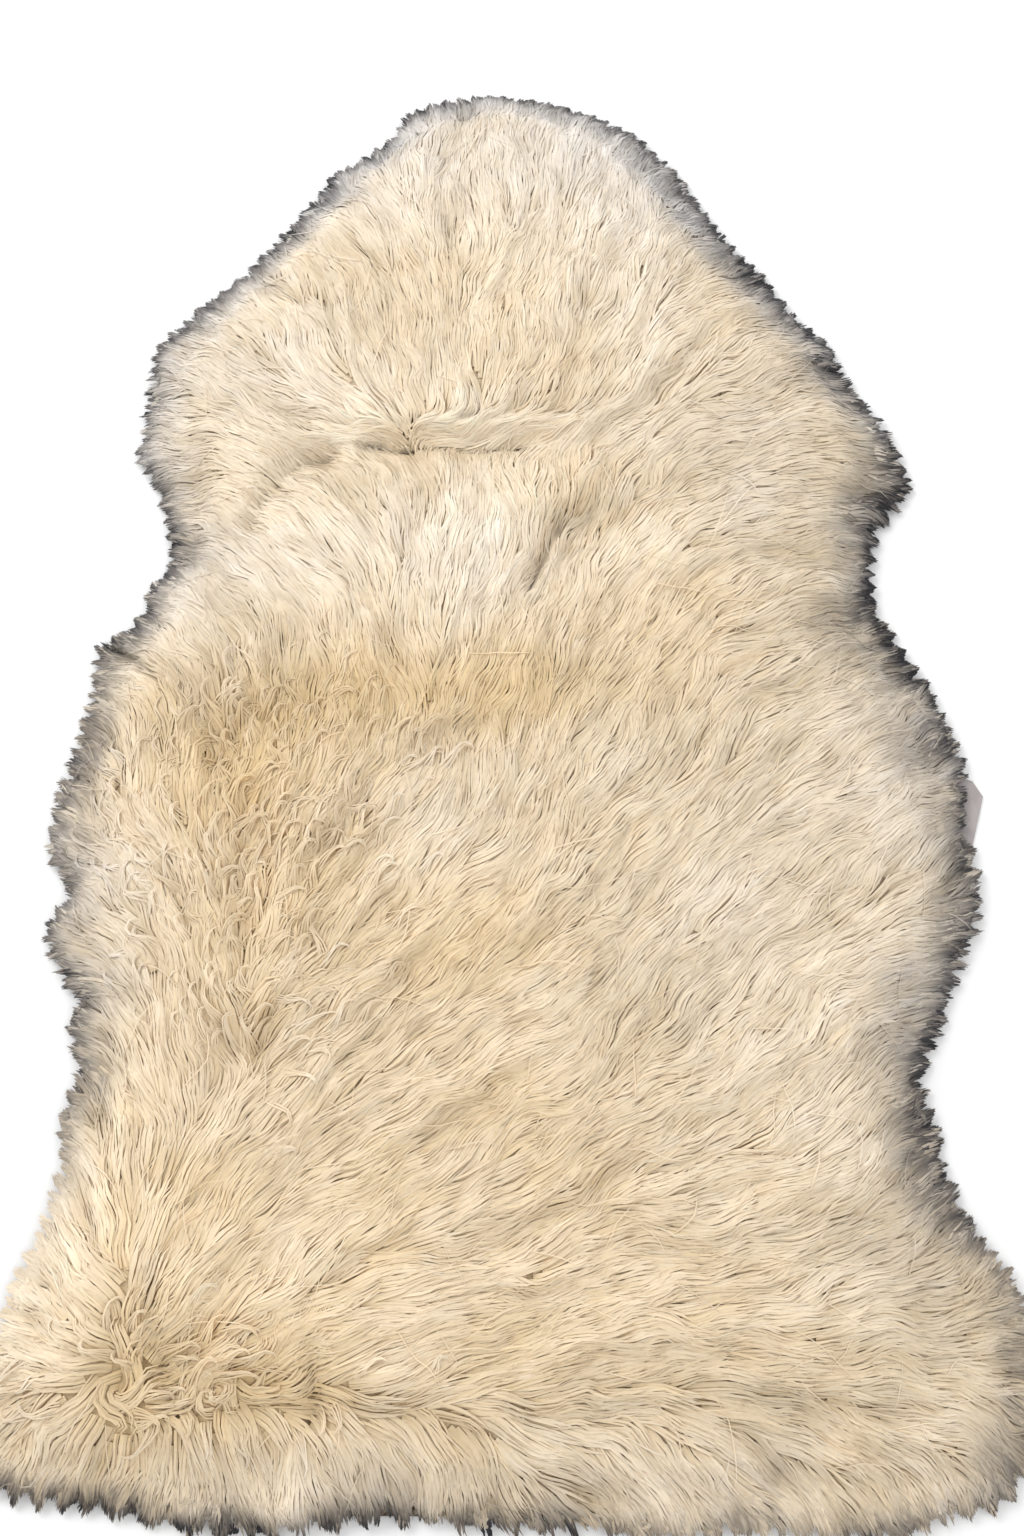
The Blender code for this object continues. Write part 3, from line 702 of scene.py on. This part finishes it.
def past_label(points):
    """How far points lie out over the label's bare end, below 0 before it."""
    away = (points - LABEL_OUTER_MIDDLE) * np.exp(-1j * LABEL_ANGLE)
    half = LABEL_WIDTH / 2
    past = away.real + np.interp(away.imag, (-half, half), LABEL_SHOWN)
    return np.where(np.abs(away.imag) < half, past, -1)


def deep_in_gap(stop):
    """How deep between the rim's points each strand ends, from -1 at their tips to 1."""
    low, high = (TOOTH_DEPTH[0] / 2, TOOTH_DEPTH[1] + LOBE_DEPTH / 2)
    return np.where(stop > 0, np.interp(stop, (low, high), (-1, 1)), 0)


def over_back(count, coat, chance):
    """How far round a lock's back its strands lie, how far out, and their sides at root and end."""
    turn = np.tile(np.linspace(-1, 1, coat.strands + 2)[1:-1], count)
    turn = np.clip(turn + chance.normal(0, TURN_SPREAD, len(turn)), -1, 1) * TURN_MOST
    group = np.minimum((turn / TURN_MOST + 1) / 2 * coat.clumps, coat.clumps - 1).astype(int)
    clump = (group + 0.5) / coat.clumps * 2 - 1
    size = np.sqrt(chance.uniform(LEAST_OUT, 1, len(turn)))
    root_side = np.sin(turn) * size * coat.half_width
    tip_side = (clump + chance.normal(0, TIP_SPREAD, len(turn))) * coat.tip_width * coat.half_width
    return turn, size, root_side, tip_side


def reached_shares(locks, which, gap, coat, fields, chance):
    """How far along its lock's path each station of each strand lies."""
    count = len(which)
    stop = chance.uniform(*coat.stop, len(locks.paths))[which] + chance.uniform(0, STOP_SPREAD, count)
    ended = read(fields.inside, locks.paths)[which] < (stop + gap)[:, None]
    ended |= past_label(locks.paths)[which] > -LABEL_UNEVEN * gap[:, None]
    ended |= read(fields.closed, locks.paths)[which] > chance.uniform(*CLOSED_FROM, count)[:, None]
    ended[:, -1] = True
    own = chance.uniform(*OWN_LENGTHS, count)
    reached = np.minimum(own, np.maximum(ended.argmax(axis=1) / PATH_STEPS, LEAST_REACHED))
    return reached[:, None] * STATIONS


def waves(locks, which, coat, chance):
    """How far to the side each strand waves, much as its lock does."""
    count = len(which)
    phase = chance.uniform(0, math.tau, len(locks.paths))[which] + chance.normal(0, PHASE_SPREAD, count)
    wave = np.sin(math.tau * STATIONS * coat.length / WAVE_LENGTH + phase[:, None])
    return WAVE_HEIGHT * wave * np.sqrt(STATIONS) * chance.uniform(*OWN_WAVES, count)[:, None]


def part_strands(locks, coat, fields, chance):
    """Parts each lock into strands, which spread over its round back and end in clumps."""
    which = np.repeat(np.arange(len(locks.paths)), coat.strands)
    count = len(which)
    turn, size, root_side, tip_side = over_back(len(locks.paths), coat, chance)
    gap = tooth_stop(locks, which, tip_side, fields)
    shares = reached_shares(locks, which, gap, coat, fields, chance)
    side = root_side[:, None] * (1 - DRAWN) + tip_side[:, None] * DRAWN + waves(locks, which, coat, chance)
    ways = unit(along(np.gradient(locks.paths, axis=1), which, shares))
    plan = along(locks.paths, which, shares) + 1j * ways * side
    crown = (np.cos(turn) * size * coat.crown)[:, None] * (1 - CROWN_LOST * STATIONS)
    proud = locks.proud[which][:, None] * ARCH
    lift = chance.normal(0, LIFT_SPREAD, count)[:, None]
    height = read(fields.height, plan) + crown - coat.depth * ROOTWARD + proud + lift
    return Strands(
        plan=plan,
        height=np.maximum(height, read(fields.floor, plan)),
        slope=(read(fields.slope, plan) * (1j * ways).conj()).real,
        roll=turn * ROLL_SHARE + chance.normal(0, ROLL_SPREAD, count),
        width=coat.width * chance.uniform(*OWN_WIDTHS, count),
        gold=locks.gold[which] + chance.normal(0, GOLD_SPREAD[1], count),
        tone=locks.tone[which] * chance.normal(1, TONE_SPREAD[1], count),
        # How much the painted rim shadow darkens each strand: more deep between the rim's points, less at
        # their tips.
        grey=locks.grey[which] * chance.normal(1, RIM_SHADOW_SPREAD[1], count) + RIM_SHADOW_IN_GAPS * deep_in_gap(gap),
    )


# ---- Meshes ----

UP = np.array([0.0, 0.0, 1.0])
# A ribbon's half width, low end and length in its cell of the map, and how many cells lie side by side.
CELL_HALF, CELL_LOW, CELL_LENGTH = 0.25, 0.1, 0.8
MAP_COLUMNS = 220


def linear(colour):
    """A colour as it looks, from 0 to 1, as the light that it sends back."""
    return np.array(colour) ** SCREEN_GAMMA


def wool_colours(gold, tone, greyed):
    """The wool's colours, from how golden and how bright it is, and how much painted rim shadow darkens it.
    """
    gold = np.clip(gold, *GOLD_LIMITS)[..., None]
    greyed = np.clip(greyed, 0, 1)[..., None]
    colour = np.array(IVORY) * (1 - gold) + np.array(GOLD) * gold
    # Painted rim shadow: the colour is drawn towards a dark grey as that shadow grows.
    colour = colour * (1 - greyed) + np.array(RIM_SHADOW_COLOUR) * greyed
    return np.clip(linear(colour) * tone[..., None], *LIGHT_LIMITS)


def strand_colours(strands, fields):
    """The colour at each station: more golden at the root, with painted shadow where the rim is."""
    gold = read(fields.gold, strands.plan) + strands.gold[:, None] + ROOT_GOLD * ROOTWARD
    tone = read(fields.shade, strands.plan) * strands.tone[:, None]
    tone = tone * (ROOT_SHADE + (1 - ROOT_SHADE) * LIT)
    return wool_colours(gold, tone, read(fields.greyed, strands.plan) * strands.grey[:, None])


def set_wool_colours(mesh, colours):
    """Gives a mesh the wool's colours at its points."""
    layer = mesh.attributes.new(WOOL_COLOUR, "FLOAT_COLOR", "POINT")
    full = np.ones((len(mesh.vertices), 4))
    full[:, :3] = colours.reshape(-1, 3)
    layer.data.foreach_set("color", full.ravel().astype(np.float32))


def normalised(vectors):
    return vectors / np.maximum(np.linalg.norm(vectors, axis=-1, keepdims=True), 1e-9)


def ribbon_corners(strands):
    """The corners of each strand's ribbon: two at each station and one at its point."""
    middle = np.stack([strands.plan.real, strands.plan.imag, strands.height], axis=-1)
    forward = normalised(np.gradient(middle, axis=1))
    level = normalised(np.cross(UP, forward))
    left = normalised(level + UP * strands.slope[..., None])
    up = np.cross(forward, left)
    roll = strands.roll[:, None, None]
    half = strands.width[:, None, None] / 2 * TAPER[:, None]
    across = (left * np.cos(roll) - up * np.sin(roll)) * half
    pairs = np.stack([middle - across, middle + across], axis=2)[:, :-1]
    corners = np.concatenate([pairs.reshape(len(middle), -1, 3), middle[:, -1:]], axis=1)
    corners[..., 2] = np.maximum(corners[..., 2], LEAST_HEIGHT / 2)
    return corners


def paired(values):
    """Values at a strand's stations, given to its ribbon's corners."""
    return np.concatenate([np.repeat(values[:, :-1], 2, axis=1), values[:, -1:]], axis=1)


def ribbon_faces():
    """The loops and the first loop of each face of one ribbon."""
    loops, starts = [], []
    last = len(STATIONS) - 2
    for k in range(last):
        starts.append(len(loops))
        loops += [2 * k + 1, 2 * k + 3, 2 * k + 2, 2 * k]
    starts.append(len(loops))
    loops += [2 * last, 2 * last + 1, 2 * last + 2]
    return np.array(loops), np.array(starts)


def ribbon_map(count):
    """Where each ribbon lies on its piece's map: a narrow upright cell of its own."""
    rows = -(-count // MAP_COLUMNS)
    number = np.arange(count)
    middle = (number % MAP_COLUMNS + 0.5) / MAP_COLUMNS
    low = (number // MAP_COLUMNS + CELL_LOW) / rows
    stations = paired(STATIONS[None])[0] * CELL_LENGTH / rows
    sides = np.append(np.tile([-CELL_HALF, CELL_HALF], len(STATIONS) - 1), 0) / MAP_COLUMNS
    return np.stack([middle[:, None] + sides, low[:, None] + stations], axis=-1)


def strand_mesh(name, strands, fields):
    """One piece of ribbons, with the wool's colours."""
    corners = ribbon_corners(strands)
    count, each = corners.shape[:2]
    loops, starts = ribbon_faces()
    all_loops = (loops + each * np.arange(count)[:, None]).ravel()
    all_starts = (starts + len(loops) * np.arange(count)[:, None]).ravel()
    mesh = bpy.data.meshes.new(name)
    for parts, kind, values in (
        (mesh.vertices, "co", corners.reshape(-1, 3).astype(np.float32)),
        (mesh.loops, "vertex_index", all_loops.astype(np.int32)),
        (mesh.polygons, "loop_start", all_starts.astype(np.int32)),
    ):
        parts.add(len(values))
        parts.foreach_set(kind, values.ravel())
    mesh.update(calc_edges=True)
    mesh.shade_smooth()
    uv = ribbon_map(count).reshape(-1, 2)[all_loops]
    mesh.uv_layers.new(name="OFBake").data.foreach_set("uv", uv.ravel().astype(np.float32))
    set_wool_colours(mesh, paired(strand_colours(strands, fields)))
    return placed(name, mesh)


def form_mesh(name, form):
    """A smooth mesh of a closed form."""
    bmesh.ops.recalc_face_normals(form, faces=form.faces)
    mesh = bpy.data.meshes.new(name)
    form.to_mesh(mesh)
    form.free()
    mesh.shade_smooth()
    return mesh


def placed(name, data):
    """A new object in the scene."""
    made = bpy.data.objects.new(name, data)
    bpy.context.scene.collection.objects.link(made)
    return made


# ---- Materials ----


def feed(node, **values):
    """Sets a node's inputs, named with underscores for spaces, or links them to outputs."""
    for name, value in values.items():
        socket = node.inputs[name.replace("_", " ")]
        if isinstance(value, bpy.types.NodeSocket):
            node.id_data.links.new(value, socket)
        else:
            socket.default_value = value
    return node.outputs


def new_material(name):
    """A material, its nodes and its shader."""
    made = bpy.data.materials.new(name)
    made.use_nodes = True
    return made, made.node_tree.nodes, made.node_tree.nodes["Principled BSDF"]


def own_colour(nodes):
    """The colour at the points of the mesh."""
    node = nodes.new("ShaderNodeAttribute")
    node.attribute_name = WOOL_COLOUR
    return node.outputs["Color"]


def noise(nodes, scale, detail):
    """Unevenness in the object's own coordinates."""
    where = nodes.new("ShaderNodeTexCoord").outputs["Object"]
    return feed(nodes.new("ShaderNodeTexNoise"), Scale=scale, Detail=detail, Vector=where)["Fac"]


def ramp(nodes, source, *stops):
    """Turns a number into a colour between two stops, each (place, brightness or colour)."""
    node = nodes.new("ShaderNodeValToRGB")
    for element, (place, colour) in zip(node.color_ramp.elements, stops):
        element.position = place
        element.color = (*(colour if hasattr(colour, "__len__") else (colour,) * 3), 1)
    return feed(node, Fac=source)["Color"]


def multiplied(nodes, a, b):
    """One colour times another."""
    node = nodes.new("ShaderNodeMix")
    node.data_type = "RGBA"
    node.blend_type = "MULTIPLY"
    return feed(node, Factor=1.0, A=a, B=b)["Result"]


def bump(nodes, heights, strength, distance):
    """The surface as heights lift it."""
    return feed(nodes.new("ShaderNodeBump"), Strength=strength, Distance=distance, Height=heights)["Normal"]


def wool_material():
    """Wool fibre: the strand's own colour, with uneven dye along it and a soft sheen."""
    made, nodes, shader = new_material("wool")
    fine = ramp(nodes, noise(nodes, 420, 2), (0.25, 0.93), (0.75, 1.0))
    broad = ramp(nodes, noise(nodes, 60, 3), (0.3, (0.95, 0.93, 0.9)), (0.7, 1.0))
    colour = multiplied(nodes, multiplied(nodes, own_colour(nodes), fine), broad)
    rough = ramp(nodes, noise(nodes, 250, 1), (0.3, 0.5), (0.7, 0.68))
    feed(shader, Base_Color=colour, Roughness=rough)
    feed(shader, Specular_IOR_Level=0.35, Sheen_Weight=0.15, Sheen_Roughness=0.4)
    return made


def underwool_material():
    """Matted wool near the skin: the wool's own colour, in felted tufts."""
    made, nodes, shader = new_material("underwool")
    felt = ramp(nodes, noise(nodes, 130, 6), (0.3, (0.74, 0.7, 0.64)), (0.7, 1.0))
    normal = bump(nodes, noise(nodes, 350, 4), 0.6, 0.002)
    feed(shader, Base_Color=multiplied(nodes, own_colour(nodes), felt), Roughness=0.9, Normal=normal)
    return made


def hide_material():
    """The flesh side of the skin: suede with a soft nap and faint stains."""
    made, nodes, shader = new_material("suede")
    stops = (0.3, linear((0.74, 0.64, 0.5))), (0.7, linear((0.85, 0.77, 0.64)))
    fine = ramp(nodes, noise(nodes, 700, 3), (0.3, 0.82), (0.7, 1.0))
    colour = multiplied(nodes, ramp(nodes, noise(nodes, 9, 5), *stops), fine)
    normal = bump(nodes, noise(nodes, 900, 2), 0.4, 0.0005)
    feed(shader, Base_Color=colour, Roughness=0.92, Sheen_Weight=0.3, Normal=normal)
    return made


def tape_material():
    """Woven tape: pale warm grey, with a fine rib along it and across it."""
    made, nodes, shader = new_material("tape")
    stops = (0.3, linear((0.66, 0.63, 0.62))), (0.7, linear((0.72, 0.69, 0.685)))
    colour, heights = ramp(nodes, noise(nodes, 90, 4), *stops), []
    where = nodes.new("ShaderNodeTexCoord").outputs["Object"]
    turned = feed(nodes.new("ShaderNodeMapping"), Rotation=(0, 0, -LABEL_ANGLE), Vector=where)["Vector"]
    for direction in ("X", "Y"):
        weave = nodes.new("ShaderNodeTexWave")
        weave.bands_direction = direction
        heights.append(feed(weave, Scale=TAPE_RIBS, Distortion=0.4, Vector=turned)["Fac"])
        colour = multiplied(nodes, colour, ramp(nodes, heights[-1], (0.2, 0.9), (0.8, 1.0)))
    normal = bump(nodes, multiplied(nodes, *heights), 0.5, 0.0002)
    feed(shader, Base_Color=colour, Roughness=0.75, Sheen_Weight=0.2, Normal=normal)
    return made


# ---- Pieces ----


def own_piece(made, look):
    """Gives a piece its material and its body."""
    made.data.materials.append(look)
    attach(made, "root")


def lay_wool(name, coat, roots, curl, fields, look, chance, out_share=0.0):
    """One piece of wool, combed from its roots."""
    locks = comb_locks(roots, coat, fields, out_share, curl, chance)
    strands = part_strands(locks, coat, fields, chance)
    own_piece(strand_mesh(name, strands, fields), look)


def make_body_wool(fields, look):
    """The combed wool of the whole skin, in pieces from the neck to the rump."""
    chance = np.random.default_rng(1)
    roots = staggered(BODY.pitch, fields.inside, BODY.from_rim, chance)
    roots = roots[read(fields.closed, roots) < CLOSED_FROM[0]]
    curl = read(fields.curl, roots) * chance.uniform(*OWN_CURLS, len(roots))
    locks = comb_locks(roots, BODY, fields, 0.0, curl, chance)
    strands = part_strands(locks, BODY, fields, chance)
    order = np.argsort(-strands.plan[:, 0].imag, kind="stable")
    for name, chosen in zip(BODY_PIECES, np.array_split(order, len(BODY_PIECES))):
        part = Strands(*(values[chosen] for values in strands))
        own_piece(strand_mesh(name, part, fields), look)


def make_tousled_wool(fields, look):
    """Short tufts with hooked ends, on top of the combed wool."""
    chance = np.random.default_rng(4)
    roots = staggered(HOOKS.pitch, fields.inside, HOOKS.from_rim, chance)
    roots = roots[chance.uniform(0, 1, len(roots)) < read(fields.tousled, roots)]
    curl = -np.radians(chance.uniform(*HOOKED, len(roots)))
    lay_wool("wool_tousled", HOOKS, roots, curl, fields, look, chance)


def make_crease_wool(fields, look):
    """Locks to both sides along the crease across the shoulders."""
    chance = np.random.default_rng(7)
    start, end = CREASE_LINE
    count = int(abs(end - start) / CREASE.pitch)
    shares = (np.arange(count) + chance.uniform(0, 1, (len(CREASE_ROWS), count))) / count
    height, length = CREASE_WAVE
    wave = height * np.sin(shares * abs(end - start) / length * math.tau)
    roots = (start + (end - start) * shares + 1j * (np.array(CREASE_ROWS)[:, None] + wave)).ravel()
    curl = np.radians(chance.uniform(*CREASE_CURL, len(roots)))
    lay_wool("wool_crease", CREASE, roots, curl, fields, look, chance)


def make_loose_wool(fields, look):
    """Single fine hairs that have come loose."""
    chance = np.random.default_rng(5)
    roots = staggered(LOOSE.pitch, fields.inside, LOOSE.from_rim, chance)
    curl = np.radians(chance.uniform(-LOOSE_CURL, LOOSE_CURL, len(roots)))
    lay_wool("wool_loose", LOOSE, roots, curl, fields, look, chance)


def make_rim_wool(fields, look):
    """The pointed locks at the ends of the wool."""
    chance = np.random.default_rng(2)
    outline = fields.outline
    around = int(np.abs(np.roll(outline, -1) - outline).sum() / RIM.pitch)
    rows = []
    for inset in RIM_ROWS:
        places = (np.arange(around) + chance.uniform(0, 1, around)) * len(outline) / around
        ends = outline[places.astype(int) % len(outline)]
        rows.append(ends - read(fields.out, ends) * inset)
    roots = np.concatenate(rows)
    lay_wool("wool_rim", RIM, roots, np.zeros(len(roots)), fields, look, chance, RIM_OUT)


def beside_furrows():
    """Points along each furrow and to both sides of it."""
    points = []
    for furrow in FURROWS:
        for start, end in zip(furrow.line, furrow.line[1:]):
            shares = np.arange(0, 1, FURROW_STEP / abs(end - start))
            side = 1j * (end - start) / abs(end - start) * furrow.width
            points += [start + (end - start) * shares + side * k for k in FURROW_SIDES]
    return np.concatenate(points)


def underwool_plan(fields):
    """The slab's upper points in plan, and the triangles between them."""
    chance = np.random.default_rng(3)
    ends = fields.outline[::BED_EVERY]
    rim = ends - read(fields.out, ends) * BED_INSET
    rim = rim[read(fields.inside, rim) > BED_INSET * BED_LEAST_INSET]
    inner_from = BED_INSET + BED_PITCH * BED_APART
    inner = staggered(BED_PITCH, fields.inside, inner_from, chance)
    creases = beside_furrows()
    creases = creases[read(fields.inside, creases) > BED_INSET + FURROW_STEP]
    edges = [(k, (k + 1) % len(rim)) for k in range(len(rim))]
    flat = [Vector((p.real, p.imag)) for p in np.concatenate([rim, inner, creases])]
    places, _, triangles, _, _, _ = delaunay_2d_cdt(flat, edges, [], 1, 1e-7)
    return np.array([complex(*place) for place in places]), triangles


def make_underwool(fields):
    """A closed felted slab that follows the wool's surface a little below it."""
    plan, triangles = underwool_plan(fields)
    top = np.maximum(read(fields.bed, plan), BED_LEAST)
    form = bmesh.new()
    upper = [form.verts.new((p.real, p.imag, z)) for p, z in zip(plan, top)]
    for triangle in triangles:
        form.faces.new([upper[k] for k in triangle])
    bmesh.ops.delete(form, geom=[vert for vert in form.verts if not vert.link_faces], context="VERTS")
    ends = [edge for edge in form.edges if edge.is_boundary]
    at_ends = (vert for edge in ends for vert in edge.verts)
    lower = {vert: form.verts.new((vert.co.x, vert.co.y, BED_BASE)) for vert in at_ends}
    for first, second in (edge.verts for edge in ends):
        form.faces.new((first, second, lower[second], lower[first]))
    floor_verts = set(lower.values())
    below = [edge for edge in form.edges if floor_verts.issuperset(edge.verts)]
    bmesh.ops.triangle_fill(form, use_beauty=True, edges=below)
    mesh = form_mesh("underwool", form)
    plan = np.array([complex(vert.co.x, vert.co.y) for vert in mesh.vertices])
    # The matted wool takes the wool's colours, the painted rim shadow included.
    gold, shade, greyed = (read(field, plan) for field in (fields.gold, fields.shade, fields.greyed))
    set_wool_colours(mesh, wool_colours(gold + ROOT_GOLD, shade * BED_SHADE, greyed))
    made = placed("underwool", mesh)
    own_piece(made, underwool_material())
    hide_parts("fleece")


def tape_path():
    """The folded tape's middle line from its side: out, round the fold and back."""
    apart = (TAPE_THICKNESS + TAPE_APART) / 2
    out = np.linspace(-LABEL_LENGTH, -apart, TAPE_PLIES)
    middle = np.interp(out, *zip(*LABEL_LEVELS))
    turn = np.linspace(-math.pi / 2, math.pi / 2, TAPE_FOLD_STEPS)[1:-1]
    fold = -apart + apart * np.cos(turn) + 1j * (middle[-1] + apart * np.sin(turn))
    lower, upper = out + 1j * (middle - apart), out + 1j * (middle + apart)
    return np.concatenate([lower, fold, upper[::-1]])


def make_label_tape():
    """A woven tape folded over at its outer edge, with a cut corner."""
    path = tape_path()
    thick = 1j * unit(np.gradient(path)) * TAPE_THICKNESS / 2
    section = np.concatenate([path + thick, (path - thick)[::-1]])
    form = bmesh.new()
    rings = []
    for side in np.linspace(-1, 1, TAPE_SIDES):
        across = side * LABEL_WIDTH / 2
        cut = max(0, across - LABEL_WIDTH / 2 + LABEL_CUT)
        free = smooth((section.real + TAPE_RAISED_REACH) / TAPE_RAISED_REACH)
        raised = TAPE_RAISED * (1 + math.cos(TAPE_WAVE * side)) * free
        reach = section.real - cut * smooth((section.real + TAPE_CUT_REACH) / TAPE_CUT_REACH)
        plan = LABEL_OUTER_MIDDLE + (reach + 1j * across) * np.exp(1j * LABEL_ANGLE)
        rings.append([form.verts.new(co) for co in zip(plan.real, plan.imag, section.imag + raised)])
    for first, second in zip(rings, rings[1:]):
        for k in range(len(first)):
            form.faces.new((first[k - 1], first[k], second[k], second[k - 1]))
    form.faces.new(rings[0])
    form.faces.new(rings[-1])
    made = placed("label_tape", form_mesh("label_tape", form))
    own_piece(made, tape_material())
    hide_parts("label")


# ---- Floor, light and camera ----


def make_floor():
    bpy.ops.mesh.primitive_plane_add(size=FLOOR_SIZE)
    floor = bpy.context.object
    floor.name = "floor"
    look, _, shader = new_material("floor")
    feed(shader, Base_Color=(*linear(FLOOR_COLOUR), 1), Roughness=FLOOR_ROUGHNESS)
    floor.data.materials.append(look)


def aimed(name, data, place, aim):
    """A lamp or camera that looks from its place at aim."""
    made = placed(name, data)
    made.location = place
    made.rotation_euler = (Vector(aim) - Vector(place)).to_track_quat("-Z", "Y").to_euler()
    return made


def make_lights():
    """Two broad soft lamps and an even white sky."""
    for lamp in LAMPS:
        data = bpy.data.lights.new(lamp.name, "AREA")
        data.shape = "DISK"
        data.size = lamp.size
        data.energy = lamp.power
        aimed(lamp.name, data, lamp.place, (0, 0, 0))
    world = bpy.data.worlds.new("studio")
    world.use_nodes = True
    feed(world.node_tree.nodes["Background"], Color=(1, 1, 1, 1), Strength=SKY)
    bpy.context.scene.world = world


def make_camera():
    data = bpy.data.cameras.new("camera")
    data.lens = CAMERA_LENS
    bpy.context.scene.camera = aimed("camera", data, CAMERA_AT, CAMERA_AIM)


def main():
    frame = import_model()
    bpy.context.scene.view_settings.view_transform = "Standard"
    fields = make_fields(frame["nodes"]["fleece"], wool_outline())
    look = wool_material()
    make_body_wool(fields, look)
    make_tousled_wool(fields, look)
    make_crease_wool(fields, look)
    make_loose_wool(fields, look)
    make_rim_wool(fields, look)
    make_underwool(fields)
    make_label_tape()
    hide = frame["nodes"]["hide"]
    hide.data.materials.clear()
    hide.data.materials.append(hide_material())
    make_floor()
    make_lights()
    make_camera()


main()
